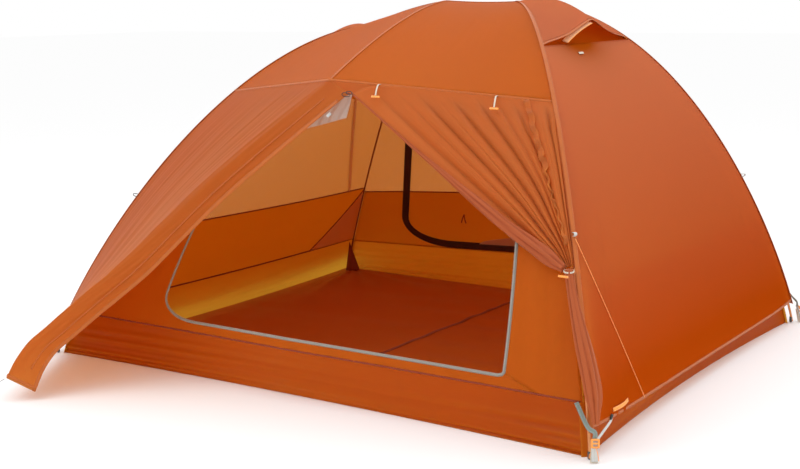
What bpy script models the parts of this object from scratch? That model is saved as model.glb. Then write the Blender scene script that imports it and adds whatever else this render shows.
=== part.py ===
"""Two-door dome tent on hubbed poles: poles, inner tent, fly and its small hardware.

Metres, +Z up.  X runs along the ridge, the front door faces -Y, and the origin is on the
underside of the floor, in the middle of the four pole feet.  Every sheet is a function of two
parameters between its edge lines; layers lie inside one another by moving towards the origin.
"""
import math

import bpy
import numpy as np

# ---- driving dimensions ------------------------------------------------------------------
FOOT_LENGTH = 2.20          # between pole feet along the ridge
FOOT_WIDTH = 1.856          # between pole feet across the ridge
APEX_X = 0.06               # where the brow pole crosses the ridge
APEX_Z = 1.27
HUB_X = {1: 0.35, -1: -0.287}      # hub positions at the right and left end
HUB_Z = {1: 1.264, -1: 1.18}
LEG_SPREAD = {1: 0.98, -1: 1.17}   # how fast a leg runs out from its hub
LEG_DROP = 1.667                   # how late a leg drops to its foot
BROW_REACH = 0.72           # brow pole tips, out from the ridge
BROW_TIP_Z = 1.025
BROW_DROP = 1.5
SEAM_AT = {1: 0.355, -1: 0.318}    # where the roof seam meets the legs, hub 0 to foot 1
POLE_RADIUS = 0.0045
HUB_RADIUS = 0.022
HUB_HEIGHT = 0.02
POLE_END_GAP = 0.003        # the sloping poles stop just short of the hub's rim
SWIVEL_RADIUS = 0.009
SWIVEL_CLEARANCE = 0.0032   # the poles bend away above and below it

FABRIC = 0.0012             # thickness of every sheet
JOINT_GAP = 0.005           # between sheets that are sewn or zipped together
TOUCH_GAP = 0.0004          # between hard pieces that touch
LEG_DEPTH = 0.016           # depth of each layer below the fly
RIDGE_DEPTH = 0.027
BROW_DEPTH = 0.012
INNER_DEPTH = 0.042
ROOF_DEPTH = 0.060          # the inner roof hangs below the hubs

FLOOR_INSET = 0.042         # floor edge inside the line of the feet
FLOOR_BOW = 0.03            # how far floor edges bow in, mid-way
TUB_HEIGHT = 0.165          # bathtub walls
BAND_HEIGHT = 0.445         # top of the solid lower wall band
HEM_AT = 0.88               # fly hem on the legs, hub 0 to foot 1
HEM_BOW = 0.035

VISOR_FOLD_AT = 0.150       # vent hood hinge line and vent sill, on the end legs
VENT_SILL_AT = 0.240
VISOR_HALF_WIDTH = 0.16
VISOR_LENGTH = 0.105
STRUT_WIDTH = 0.02
STRUT_THICK = 0.0015

ZIP_TOP = np.array([0.145, -0.735, 0.985])      # top of the vestibule zip, front
FLAP_TIP = np.array([-0.76, -1.419, 0.08])      # pegged corner of the vestibule
FLAP_HEM_END = np.array([-0.689, -1.364, 0.03])  # zip end of the vestibule hem
ZIP_BEND = np.array([-0.478, -1.204, 0.331])    # where the slack zip edge bulges most
FLAP_BACK_TIP = np.array([-0.725, 1.39, 0.045])

DOOR = {"left": 0.20, "right": 0.89, "top": 0.08, "bottom": 0.685,
        "corners": (0.16, 0.03, 0.05, 0.12)}    # shares of the front wall
BACK_DOOR = {"left": 0.15, "right": 0.89, "top": 0.08, "bottom": 0.70,
             "corners": (0.16, 0.03, 0.05, 0.15)}

DOOR_SILL = 0.012           # least wall between a door and the tub, as a share of the wall

TIE_AT = 0.612              # door tie on the front right leg
BUNDLE_RADIUS = 0.026
STRAP_WIDTH = 0.018
STRAP_THICK = 0.0016
BUCKLE_SIZE = (0.026, 0.020, 0.009)
TOGGLE_RADIUS = 0.0035
TOGGLE_LENGTH = 0.03
TOGGLE_SHARES = (0.262, 0.785)
CORD_RADIUS = 0.0012
GUY_LOOP_AT = 0.565         # guyline loop on the front right leg, hub 0 to foot 1
GUY_HEM_SHARE = 0.206       # its lower end along the hem of the end panel
GUY_CLEAR = 0.003
PEG_LENGTH = 0.165
PEG_WIDTH = 0.012

ORANGE = (0.72, 0.20, 0.06)
DARK_ORANGE = (0.50, 0.11, 0.03)
FLOOR_RED = (0.32, 0.05, 0.02)
PALE = (0.75, 0.70, 0.65)
BRIGHT = (0.95, 0.42, 0.08)
GREY = (0.55, 0.56, 0.55)
BLACK = (0.03, 0.03, 0.03)


# ---- scene helpers -----------------------------------------------------------------------
def clear_scene():
    for thing in list(bpy.data.objects):
        bpy.data.objects.remove(thing, do_unlink=True)


def finish(name, colour, roughness, metallic=0.0):
    material = bpy.data.materials.new(name)
    material.use_nodes = True
    shader = material.node_tree.nodes["Principled BSDF"]
    shader.inputs["Base Color"].default_value = (*colour, 1.0)
    shader.inputs["Roughness"].default_value = roughness
    shader.inputs["Metallic"].default_value = metallic
    return material


def place(name, data, look):
    """Link an object to the tent's collection with its own material."""
    thing = bpy.data.objects.new(name, data)
    data.materials.clear()
    data.materials.append(finish(name, *look))
    TENT.objects.link(thing)
    return thing


def set_origin(thing, point):
    """Put the object's origin on its joint without moving the shape."""
    point = np.asarray(point, dtype=float)
    mesh = thing.data
    spots = np.empty(len(mesh.vertices) * 3)
    mesh.vertices.foreach_get("co", spots)
    mesh.vertices.foreach_set("co", (spots.reshape(-1, 3) - point).ravel())
    thing.location = point
    return thing


# ---- lines of the tent -------------------------------------------------------------------
def inset(points, depth):
    """Move points towards the origin: the layer that lies depth below the fly."""
    far = np.linalg.norm(points, axis=-1, keepdims=True)
    return points * (1.0 - depth / far)


def leg_line(end, side, t):
    """The fly's line over a leg: a superellipse arc from the hub (t 0) to the foot (t 1)."""
    angle = np.asarray(t, dtype=float) * math.pi / 2
    spread = np.sin(angle) ** LEG_SPREAD[end]
    x = HUB_X[end] + (end * FOOT_LENGTH / 2 - HUB_X[end]) * spread
    y = side * FOOT_WIDTH / 2 * spread
    z = HUB_Z[end] * np.cos(angle) ** LEG_DROP
    return np.stack([x, y, z], axis=-1)


def leg_at_height(end, height):
    """The leg parameter where its line is at a height."""
    return math.acos((height / HUB_Z[end]) ** (1 / LEG_DROP)) * 2 / math.pi


def brow_line(side, t):
    """The fly's line over the brow pole, from the apex (t 0) to its tip (t 1)."""
    t = np.asarray(t, dtype=float)
    drop = (APEX_Z - BROW_TIP_Z) * t ** BROW_DROP
    return np.stack([APEX_X + 0 * t, side * BROW_REACH * t, APEX_Z - drop], axis=-1)


def straight(a, b, t):
    return a + (b - a) * np.asarray(t, dtype=float)[..., None]


def two_part(first, second, split, s):
    """Join two lines end to end; the first takes the share split of the parameter."""
    s = np.asarray(s, dtype=float)
    early = first(np.clip(s / split, 0, 1))
    late = second(np.clip((s - split) / (1 - split), 0, 1))
    return np.where((s < split)[..., None], early, late)


def ridge_line(s):
    """Left hub to apex to right hub."""
    left = leg_line(-1, 1, 0.0)
    apex = np.array([APEX_X, 0, APEX_Z])
    right = leg_line(1, 1, 0.0)
    return two_part(lambda q: straight(left, apex, q) + lift(q, 0.012),
                    lambda q: straight(apex, right, q) + lift(q, -0.004), 0.5, s)


def lift(q, height):
    """A low arch added to a straight line."""
    q = np.asarray(q, dtype=float)
    return np.stack([0 * q, 0 * q, height * 4 * q * (1 - q)], axis=-1)


def seam_line(side, s):
    """Roof seam: left leg to brow tip to right leg."""
    left = leg_line(-1, side, SEAM_AT[-1])
    right = leg_line(1, side, SEAM_AT[1])
    tip = brow_line(side, 1.0)
    return two_part(lambda q: straight(left, tip, q), lambda q: straight(tip, right, q), 0.5, s)


def floor_edge(side, s):
    """Front or back floor edge, left to right, bowed in between its corners."""
    s = np.asarray(s, dtype=float)
    half = FOOT_LENGTH / 2 - FLOOR_INSET
    x = -half + 2 * half * s
    y = side * (FOOT_WIDTH / 2 - FLOOR_INSET - FLOOR_BOW * 4 * s * (1 - s))
    return np.stack([x, y, 0 * x], axis=-1)


# ---- sheets ------------------------------------------------------------------------------
def four_edges(top, right, bottom, left, s, t):
    """Coons patch: the sheet that four edge lines hold, top to bottom along t."""
    across = s[..., None]
    down = t[..., None]
    zero = np.zeros(1)
    one = np.ones(1)
    rows = (1 - down) * top(s) + down * bottom(s)
    columns = (1 - across) * left(t) + across * right(t)
    corners = ((1 - across) * (1 - down) * top(zero) + across * (1 - down) * top(one)
               + (1 - across) * down * bottom(zero) + across * down * bottom(one))
    return rows + columns - corners


def roof_sheet(side, s, t):
    """Ridge (t 0) to roof seam (t 1), over the brow pole in the middle."""
    def leg(end):
        return lambda q: leg_line(end, side, SEAM_AT[end] * q)

    left = four_edges(lambda q: ridge_line(q / 2), lambda q: brow_line(side, q),
                      lambda q: seam_line(side, q / 2), leg(-1), np.clip(2 * s, 0, 1), t)
    right = four_edges(lambda q: ridge_line(0.5 + q / 2), leg(1),
                       lambda q: seam_line(side, 0.5 + q / 2), lambda q: brow_line(side, q),
                       np.clip(2 * s - 1, 0, 1), t)
    return np.where((s < 0.5)[..., None], left, right)


def end_sheet(end, s, t, hem=False):
    """End of the tent between its two legs: s front to back, t a share of the leg."""
    line = leg_line(end, 1, t)
    width = 2 * s - 1
    bow = (HEM_BOW if hem else FLOOR_BOW) * t ** 4 * (1 - width ** 2)
    return np.stack([line[..., 0] - end * bow, line[..., 1] * width, line[..., 2]], axis=-1)


def wall_sheet(side, s, t):
    """Inner front or back wall: roof seam (t 0) to floor edge (t 1)."""
    def leg(end):
        return lambda q: inset(leg_line(end, side, SEAM_AT[end] + (1 - SEAM_AT[end]) * q),
                               INNER_DEPTH)

    return four_edges(lambda q: inset(seam_line(side, q), INNER_DEPTH), leg(1),
                      lambda q: floor_edge(side, q), leg(-1), s, t)


def side_of(points, side):
    """Mirror front points (-Y) to the back when side is 1."""
    return points * np.array([1, -side, 1])


def zip_line(side, t):
    """Vestibule zip edge from its top to the hem; slack and bulging at the front."""
    top = side_of(ZIP_TOP, side)
    if side > 0:
        return straight(top, FLAP_BACK_TIP, t)
    # a cubic that passes the bend at 0.7 of the way and ends at the hem
    t = np.asarray(t, dtype=float)
    base = straight(top, FLAP_HEM_END, t)
    push = ZIP_BEND - (top + (FLAP_HEM_END - top) * 0.747)
    shape = np.clip((t - 0.45) / 0.3, 0, 1) ** 2 * np.clip((1 - t) / 0.25, 0, 1)
    return base + push * shape[..., None]


def hem_corner(end, side):
    return leg_line(end, side, HEM_AT)


def fixed_front(end, side, s, t):
    """Fly beside the door: roof seam to hem corner, leg (s 0) to the fold line (s 1)."""
    top = side_of(ZIP_TOP, side)
    corner = hem_corner(end, side)
    seam_end = leg_line(end, side, SEAM_AT[end])
    tip = brow_line(side, 1.0)

    def seam(q):
        if end < 0:
            return two_part(lambda p: straight(seam_end, tip, p),
                            lambda p: straight(tip, top, p), 0.85, q)
        return straight(seam_end, top, q)

    def leg(q):
        return leg_line(end, side, SEAM_AT[end] + (HEM_AT - SEAM_AT[end]) * q)

    return four_edges(seam, lambda q: straight(top, corner, q),
                      lambda q: straight(corner, corner, q), leg, s, t)


def flap_sheet(end, side, s, t):
    """Loose part of the vestibule: fold line (s 0) to zip edge (s 1), zip top to hem."""
    top = side_of(ZIP_TOP, side)
    corner = hem_corner(end, side)

    def hem(q):
        if side < 0:
            return two_part(lambda p: straight(corner, FLAP_TIP, p),
                            lambda p: straight(FLAP_TIP, FLAP_HEM_END, p), 0.8, q)
        return straight(corner, FLAP_BACK_TIP, q)

    return four_edges(lambda q: straight(top, top, q), lambda q: zip_line(side, q),
                      hem, lambda q: straight(top, corner, q), s, t)


def tie_point():
    return leg_line(1, -1, TIE_AT)


def drape_sheet(s, t):
    """Front door drawn up to its tie: s zip top to leg along the seam, t seam to tie."""
    top = ZIP_TOP + np.array([0.012, 0.0, -0.004])
    seam_end = leg_line(1, -1, SEAM_AT[1])
    knot = tie_point() + np.array([-0.02, -0.02, 0.03])
    hang = np.array([-0.03, 0.0, -0.06])

    def free_edge(q):
        return straight(top, knot, q) + hang * (4 * q * (1 - q))[..., None]

    def leg(q):
        line = leg_line(1, -1, SEAM_AT[1] + (TIE_AT - 0.02 - SEAM_AT[1]) * q)
        return line + np.array([-0.004, -0.006, 0.0])

    end = leg(np.ones(1))[0]
    return four_edges(lambda q: straight(top, seam_end + np.array([-0.004, -0.006, 0.0]), q),
                      leg, lambda q: straight(knot, end, q), free_edge, s, t)


def shares(first, last, count):
    return np.linspace(first, last, count + 1)


def sheet_mesh(name, points, flip):
    """Grid of points (rows, columns, 3) to a mesh; flip turns its faces over."""
    rows, columns = points.shape[:2]
    index = np.arange(rows * columns).reshape(rows, columns)
    quads = np.stack([index[:-1, :-1], index[1:, :-1], index[1:, 1:], index[:-1, 1:]], axis=-1)
    quads = quads.reshape(-1, 4)
    if flip:
        quads = quads[:, ::-1]
    mesh = bpy.data.meshes.new(name)
    mesh.from_pydata(points.reshape(-1, 3).tolist(), [], quads.tolist())
    mesh.update()
    return mesh


def thicken(thing, thickness=FABRIC):
    """Give an open sheet its thickness on the inner side."""
    solid = thing.modifiers.new("thickness", "SOLIDIFY")
    solid.thickness = thickness
    solid.offset = -1
    solid.use_even_offset = False
    return thing


def faces_inward(points):
    """True when the grid's faces look towards the tent's middle."""
    rows, columns = points.shape[:2]
    middle = points[rows // 2, columns // 2]
    along = points[rows // 2, min(columns // 2 + 1, columns - 1)] - middle
    down = points[min(rows // 2 + 1, rows - 1), columns // 2] - middle
    outward = middle - np.array([0, 0, 0.3])
    return float(np.dot(np.cross(down, along), outward)) < 0


def add_sheet(name, sheet, s_shares, t_shares, look, depth=0.0, thickness=FABRIC):
    """Build a sheet over a grid of its two parameters and give it its thickness."""
    across, down = np.meshgrid(s_shares, t_shares, indexing="ij")
    points = sheet(across, down)
    if depth:
        points = inset(points, depth)
    mesh = sheet_mesh(name, points, faces_inward(points))
    return thicken(place(name, mesh, look), thickness)


def door_outline(door, count, grow=0.0):
    """Rounded outline in shares of the wall, anticlockwise from the lower right corner."""
    left = door["left"] - grow
    right = door["right"] + grow
    top = door["top"] - grow
    bottom = door["bottom"] + grow
    upper_left, upper_right, lower_right, lower_left = door["corners"]
    corners = [(right - lower_right, bottom - lower_right, lower_right, 0.0),
               (left + lower_left, bottom - lower_left, lower_left, 0.5),
               (left + upper_left, top + upper_left, upper_left, 1.0),
               (right - upper_right, top + upper_right, upper_right, 1.5)]
    outline = []
    for centre_s, centre_t, radius, start in corners:
        for step in range(count):
            angle = math.pi * (start + 0.5 * step / (count - 1))
            outline.append((centre_s + radius * math.cos(angle),
                            centre_t + radius * math.sin(angle)))
    return np.array(outline)


def even_spacing(outline, count):
    """Resample a closed outline to evenly spaced points."""
    closed = np.vstack([outline, outline[:1]])
    steps = np.linalg.norm(np.diff(closed, axis=0), axis=1)
    far = np.concatenate([[0], np.cumsum(steps)])
    wanted = np.linspace(0, far[-1], count, endpoint=False)
    return np.stack([np.interp(wanted, far, closed[:, axis]) for axis in (0, 1)], axis=1)


def frame_points(outline, low, high):
    """Where rays from the outline's middle through its points meet the wall's rectangle."""
    centre = (outline.min(axis=0) + outline.max(axis=0)) / 2
    ray = outline - centre
    reach = np.full(len(ray), np.inf)
    for axis in (0, 1):
        with np.errstate(divide="ignore", invalid="ignore"):
            far = np.where(ray[:, axis] > 0, (high[axis] - centre[axis]) / ray[:, axis],
                           (low[axis] - centre[axis]) / ray[:, axis])
        reach = np.minimum(reach, np.where(np.abs(ray[:, axis]) < 1e-9, np.inf, far))
    points = centre + ray * reach[:, None]
    for corner in ((low[0], low[1]), (low[0], high[1]), (high[0], low[1]), (high[0], high[1])):
        nearest = np.argmin(np.linalg.norm(points - np.array(corner), axis=1))
        points[nearest] = corner
    return points


def add_wall_with_door(name, side, door, high_t, look):
    """Wall sheet with a rounded door hole, meshed as rings from the hole to the wall's edge."""
    hole = even_spacing(door_outline(door, 7), 56)
    low = np.array([0.006, 0.012])
    high = np.array([0.994, high_t])
    rim = frame_points(hole, low, high)
    rings = np.stack([hole + (rim - hole) * share for share in (0.0, 0.35, 0.7, 1.0)], axis=1)
    rings = np.concatenate([rings, rings[:1]], axis=0)
    points = wall_sheet(side, rings[..., 0], rings[..., 1])
    count = len(hole)
    index = np.arange(count * 4).reshape(count, 4)
    after = np.roll(index, -1, axis=0)
    quads = np.stack([index[:, :-1], after[:, :-1], after[:, 1:], index[:, 1:]], axis=-1)
    quads = quads.reshape(-1, 4)
    if not faces_inward(points):
        quads = quads[:, ::-1]
    mesh = bpy.data.meshes.new(name)
    mesh.from_pydata(points[:-1].reshape(-1, 3).tolist(), [], quads.tolist())
    mesh.update()
    return thicken(place(name, mesh, look))


def add_door_panel(name, side, door, look):
    """The closed door: the wall sheet inside a slightly smaller outline."""
    rim = even_spacing(door_outline(door, 7), 56)
    centre = (rim.min(axis=0) + rim.max(axis=0)) / 2
    scales = np.array([0.988, 0.75, 0.45, 0.2])
    rings = centre + (rim - centre)[:, None, :] * scales[None, :, None]
    flat = np.vstack([rings.reshape(-1, 2), centre[None, :]])
    points = wall_sheet(side, flat[:, 0], flat[:, 1])
    count = len(rim)
    index = np.arange(count * 4).reshape(count, 4)
    after = np.roll(index, -1, axis=0)
    quads = np.stack([index[:, :-1], index[:, 1:], after[:, 1:], after[:, :-1]], axis=-1)
    faces = quads.reshape(-1, 4).tolist()
    hub = count * 4
    faces += [[int(a), hub, int(b)] for a, b in zip(index[:, -1], after[:, -1])]
    test = wall_sheet(side, *np.meshgrid(shares(0.3, 0.6, 2), shares(0.3, 0.6, 2),
                                         indexing="ij"))
    if faces_inward(test) == (side < 0):
        faces = [face[::-1] for face in faces]
    mesh = bpy.data.meshes.new(name)
    mesh.from_pydata(points.tolist(), [], faces)
    mesh.update()
    return thicken(place(name, mesh, look))


# ---- tubes and small hardware ------------------------------------------------------------
def add_tube(name, points, radius, look, sides=2):
    """A round tube along points, as a filled poly curve."""
    curve = bpy.data.curves.new(name, "CURVE")
    curve.dimensions = "3D"
    curve.bevel_depth = radius
    curve.bevel_resolution = sides
    curve.use_fill_caps = True
    spline = curve.splines.new("POLY")
    spline.points.add(len(points) - 1)
    flat = np.concatenate([points, np.ones((len(points), 1))], axis=1)
    spline.points.foreach_set("co", flat.ravel())
    return place(name, curve, look)


def smooth_through(knots, count):
    """Catmull-Rom curve through hand-placed knots."""
    knots = np.asarray(knots, dtype=float)
    ends = np.vstack([2 * knots[0] - knots[1], knots, 2 * knots[-1] - knots[-2]])
    spots = np.linspace(0, len(knots) - 1, count)
    index = np.minimum(spots.astype(int), len(knots) - 2)
    q = (spots - index)[:, None]
    a, b, c, d = ends[index], ends[index + 1], ends[index + 2], ends[index + 3]
    return 0.5 * (2 * b + (c - a) * q + (2 * a - 5 * b + 4 * c - d) * q ** 2
                  + (3 * b - a - 3 * c + d) * q ** 3)


def frame_towards(along, flat):
    """Three axes: along, across and the direction closest to flat."""
    first = np.asarray(along, dtype=float) / np.linalg.norm(along)
    third = np.asarray(flat, dtype=float)
    third = third - first * np.dot(first, third)
    third = third / np.linalg.norm(third)
    return first, np.cross(third, first), third


def add_block(name, centre, size, along, flat, look, bevel=0.0):
    """A rounded block whose first side runs along one direction and last side faces flat."""
    bpy.ops.mesh.primitive_cube_add(size=1.0)
    thing = bpy.context.active_object
    for user in list(thing.users_collection):
        user.objects.unlink(thing)
    axes = frame_towards(along, flat)
    mesh = thing.data
    spots = np.empty(24)
    mesh.vertices.foreach_get("co", spots)
    spots = (spots.reshape(-1, 3) * np.array(size)) @ np.array(axes)
    mesh.vertices.foreach_set("co", spots.ravel())
    mesh.update()
    mesh.name = name
    thing.name = name
    mesh.materials.append(finish(name, *look))
    TENT.objects.link(thing)
    thing.location = centre
    if bevel:
        edge = thing.modifiers.new("edges", "BEVEL")
        edge.width = bevel
        edge.segments = 2
    return thing


def add_disc(name, centre, radius, height, look):
    """A short upright cylinder."""
    bpy.ops.mesh.primitive_cylinder_add(vertices=24, radius=radius, depth=height)
    thing = bpy.context.active_object
    for user in list(thing.users_collection):
        user.objects.unlink(thing)
    thing.name = name
    thing.data.name = name
    thing.data.materials.append(finish(name, *look))
    TENT.objects.link(thing)
    thing.location = centre
    return thing


# ---- the frame of poles ------------------------------------------------------------------
END_NAME = {1: "right", -1: "left"}
SIDE_NAME = {-1: "front", 1: "back"}


def hub_centre(end):
    return inset(leg_line(end, 1, 0.0), RIDGE_DEPTH)


def pole_points(line, centre, reach):
    """Points of a pole line outside a sphere round its hub, its first point on the sphere."""
    far = np.linalg.norm(line - centre, axis=1)
    first = int(np.argmax(far > reach))
    before = line[first - 1] if first else centre
    share = (reach - np.linalg.norm(before - centre)) / (
        far[first] - np.linalg.norm(before - centre))
    start = before + (line[first] - before) * share
    return np.vstack([start, line[first:]])


def build_poles():
    look = ((0.80, 0.36, 0.12), 0.35, 0.8)
    reach = HUB_RADIUS + POLE_END_GAP
    for end in (1, -1):
        centre = hub_centre(end)
        add_disc("hub_" + END_NAME[end], centre, HUB_RADIUS, HUB_HEIGHT, (GREY, 0.5))
        for side in (-1, 1):
            t = np.concatenate([[0.0], shares(0.04, 1.0, 22)])
            deep = LEG_DEPTH + (RIDGE_DEPTH - LEG_DEPTH) * np.clip(1 - t / 0.12, 0, 1)
            line = inset(leg_line(end, side, t), deep[:, None])
            line[-1, 2] = POLE_RADIUS
            name = "leg_pole_" + SIDE_NAME[side] + "_" + END_NAME[end]
            add_tube(name, pole_points(line, centre, reach), POLE_RADIUS, look)
    s = shares(0.0, 1.0, 16)
    ridge = inset(ridge_line(s), RIDGE_DEPTH)
    ridge = pole_points(ridge, hub_centre(-1), reach)
    ridge = pole_points(ridge[::-1], hub_centre(1), reach)
    add_tube("ridge_pole", ridge, POLE_RADIUS, look)
    t = shares(0.0, 0.985, 10)
    brow = np.vstack([brow_line(-1, t)[::-1], brow_line(1, t[1:])])
    add_tube("brow_pole", inset(brow, BROW_DEPTH), POLE_RADIUS, look)
    apex = np.array([APEX_X, 0, APEX_Z])
    low = inset(apex, RIDGE_DEPTH)[2] + POLE_RADIUS
    high = inset(apex, BROW_DEPTH)[2] - POLE_RADIUS
    add_disc("brow_swivel", (APEX_X, 0, (low + high) / 2), SWIVEL_RADIUS,
             high - low - SWIVEL_CLEARANCE, (GREY, 0.5))


# ---- the inner tent ----------------------------------------------------------------------
def build_floor():
    half_length = FOOT_LENGTH / 2 - FLOOR_INSET
    back_off = JOINT_GAP

    def floor(s, t):
        front = floor_edge(-1, s)
        back = floor_edge(1, s)
        points = front + (back - front) * t[..., None]
        width = 2 * t - 1
        bow = FLOOR_BOW * (1 - width ** 2) * (2 * s - 1) ** 3
        points[..., 0] = points[..., 0] - bow
        points[..., 0] *= (half_length - back_off) / half_length
        points[..., 1] *= (FOOT_WIDTH / 2 - FLOOR_INSET - back_off) / (
            FOOT_WIDTH / 2 - FLOOR_INSET)
        points[..., 2] = FABRIC
        return points

    across, down = np.meshgrid(shares(0, 1, 10), shares(0, 1, 10), indexing="ij")
    thing = place("floor_sheet", sheet_mesh("floor_sheet", floor(across, down), False),
                  (FLOOR_RED, 0.6))
    thicken(thing)


def wall_share(side, height):
    """Share of the wall sheet, mid-way along, that is at a height."""
    t = np.linspace(0, 1, 400)
    points = wall_sheet(side, np.full(400, 0.5), t)
    return float(np.interp(-height, -points[:, 2], t))


def door_for(side):
    """The door outline of a wall, its sill kept above the tub's seam."""
    door = DOOR if side < 0 else BACK_DOOR
    highest = wall_share(side, TUB_HEIGHT) - DOOR_SILL
    return dict(door, bottom=min(door["bottom"], highest))


def build_inner():
    cloth = (ORANGE, 0.6)
    deep = (DARK_ORANGE, 0.6)
    mesh = (PALE, 0.8)
    for side in (-1, 1):
        seam = wall_share(side, TUB_HEIGHT)
        name = SIDE_NAME[side]
        add_sheet("tub_wall_" + name, lambda s, t: wall_sheet(side, s, t),
                  shares(0.006, 0.994, 10), shares(seam + JOINT_GAP, 0.992, 2), deep)
        door = door_for(side)
        add_wall_with_door("inner_wall_" + name, side, door, seam - JOINT_GAP / 2,
                           cloth if side < 0 else mesh)
        add_sheet("inner_roof_" + name, lambda s, t: roof_sheet(side, s, t),
                  shares(0.03, 0.97, 10), shares(0.012, 0.985, 4), mesh, ROOF_DEPTH)
    add_door_panel("inner_door_back", 1, door_for(1), deep)
    for end in (-1, 1):
        name = END_NAME[end]
        tub = leg_at_height(end, TUB_HEIGHT)
        band = leg_at_height(end, BAND_HEIGHT)
        wide = shares(0.006, 0.994, 8)
        small = 0.004
        sheet = lambda s, t: end_sheet(end, s, t)
        add_sheet("tub_wall_" + name, sheet, wide, shares(tub + small, 0.994, 2), deep,
                  INNER_DEPTH)
        add_sheet("inner_band_" + name, sheet, wide, shares(band + small, tub - small, 3),
                  cloth, INNER_DEPTH)
        add_sheet("inner_mesh_" + name, sheet, wide, shares(0.07, band - small, 6), mesh,
                  INNER_DEPTH)
    rolled = inner_roll_points()
    add_tube("inner_door_front_roll", rolled, 0.012, mesh, 2)


def inner_roll_points():
    """The front inner door bunched up beside the right leg, seam to above the band."""
    t = shares(0.05, 0.42, 10)
    wall = wall_sheet(-1, 0.935 + 0 * t, t)
    return wall + np.array([0.0, -0.019, 0.0])


# ---- the fly -----------------------------------------------------------------------------
def build_fly():
    cloth = (ORANGE, 0.45)
    edge = 0.006
    for side in (-1, 1):
        add_sheet("fly_roof_" + SIDE_NAME[side], lambda s, t: roof_sheet(side, s, t),
                  shares(0.02, 0.98, 16), shares(0.008, 0.990, 6), cloth)
    for end in (-1, 1):
        name = END_NAME[end]
        sheet = lambda s, t: end_sheet(end, s, t, True)
        wide = shares(edge, 1 - edge, 8)
        add_sheet("fly_end_" + name, sheet, wide, shares(VENT_SILL_AT, HEM_AT, 10), cloth)
        add_sheet("fly_cap_" + name, sheet, shares(0.03, 0.97, 6),
                  shares(0.03, VISOR_FOLD_AT - 0.004, 3), cloth)
        build_vent(end, cloth)
    corners = {("fly_beside_door_front_left", -1, -1), ("fly_beside_door_back_left", -1, 1),
               ("fly_beside_door_back_right", 1, 1)}
    for name, end, side in sorted(corners):
        add_sheet(name, lambda s, t: fixed_front(end, side, s, t), shares(0.01, 0.992, 7),
                  shares(0.012, 0.975, 9), cloth)
        flap = add_sheet(name.replace("fly_beside_door", "vestibule_flap"),
                         lambda s, t: flap_sheet(end, side, s, t), shares(0.02, 0.985, 6),
                         shares(0.06, 0.995, 10), cloth)
        set_origin(flap, hem_corner(end, side))
    add_sheet("door_drape", drape_sheet, shares(0.02, 0.985, 8), shares(0.03, 1.0, 8), cloth)
    add_tube("door_bundle", bundle_points(), BUNDLE_RADIUS, cloth, 3)


def bundle_points():
    """The gathered door hanging down the outside of the front right leg."""
    t = shares(TIE_AT + 0.012, 0.825, 8)
    out = np.array([-0.030, -0.028, 0.0])
    return leg_line(1, -1, t) + out


def visor_line(end):
    """The fold line's middle point on the end of the tent."""
    return end_sheet(end, np.array(0.5), np.array(VISOR_FOLD_AT), True)


def build_vent(end, cloth):
    """Stiff hood over the vent, and the strut that props it."""
    fold = visor_line(end)
    peak = fold + np.array([end * VISOR_LENGTH, 0, -0.002])
    base = VISOR_HALF_WIDTH

    def hood(s, t):
        width = (2 * s - 1) * base * (1 - 0.93 * t)
        points = straight(fold, peak, t)
        points[..., 1] = width
        return points

    visor = add_sheet("vent_hood_" + END_NAME[end], hood, shares(0, 1, 4),
                      shares(0.05, 1.0, 3), cloth)
    set_origin(visor, fold)
    top = peak + np.array([-end * 0.012, -0.012, -0.012])
    foot = strut_foot(end)
    axes = top - foot
    length = float(np.linalg.norm(axes))
    add_block("vent_strut_" + END_NAME[end], (top + foot) / 2,
              (length, STRUT_WIDTH, STRUT_THICK), axes, (end, -0.5, 0.6), (PALE, 0.6), 0.0003)


def strut_foot(end):
    sill = end_sheet(end, np.array(0.24), np.array(VENT_SILL_AT), True)
    return sill + np.array([-end * 0.004, 0.0, 0.014])


# ---- straps, buckles, toggles, cords and the peg -----------------------------------------
def strap_ends(end, side):
    """Foot and hem ends of a corner strap."""
    foot = leg_line(end, side, 1.0) + np.array([end * 0.012, side * 0.012, 0.004])
    high = hem_corner(end, side) + np.array([end * 0.016, side * 0.012, -0.012])
    return foot, high


def build_corner(end, side):
    name = SIDE_NAME[side] + "_" + END_NAME[end]
    foot, high = strap_ends(end, side)
    along = high - foot
    length = float(np.linalg.norm(along))
    facing = np.array([end, side, 0.2])
    add_block("corner_strap_" + name, (foot + high) / 2, (length, STRAP_WIDTH, STRAP_THICK),
              along, facing, (PALE, 0.7), 0.0003)
    unit = along / length
    lift_off = frame_towards(along, facing)[2] * (BUCKLE_SIZE[2] / 2 + STRAP_THICK)
    centre = high - unit * 0.012 + lift_off
    add_block("corner_buckle_" + name, centre, BUCKLE_SIZE, along, facing, (BRIGHT, 0.4),
              0.002)


def build_toggle(name, loop):
    """A short bar that hangs across the end of its loop."""
    centre = loop + np.array([0.0, -0.006, -0.028])
    half = TOGGLE_LENGTH / 2
    along = np.array([1.0, 0.0, 0.0])
    ends = np.array([centre - along * half, centre, centre + along * half])
    add_tube(name, ends, TOGGLE_RADIUS, (BRIGHT, 0.4), 2)


def seam_toggle(share):
    """Loop of a toggle on the front seam, as a share from the brow tip to the right leg."""
    return seam_line(-1, 0.5 + share / 2) + np.array([0.0, -0.058, -0.004])


def tie_loop():
    return tie_point() + np.array([-0.012, -0.062, 0.024])


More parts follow.
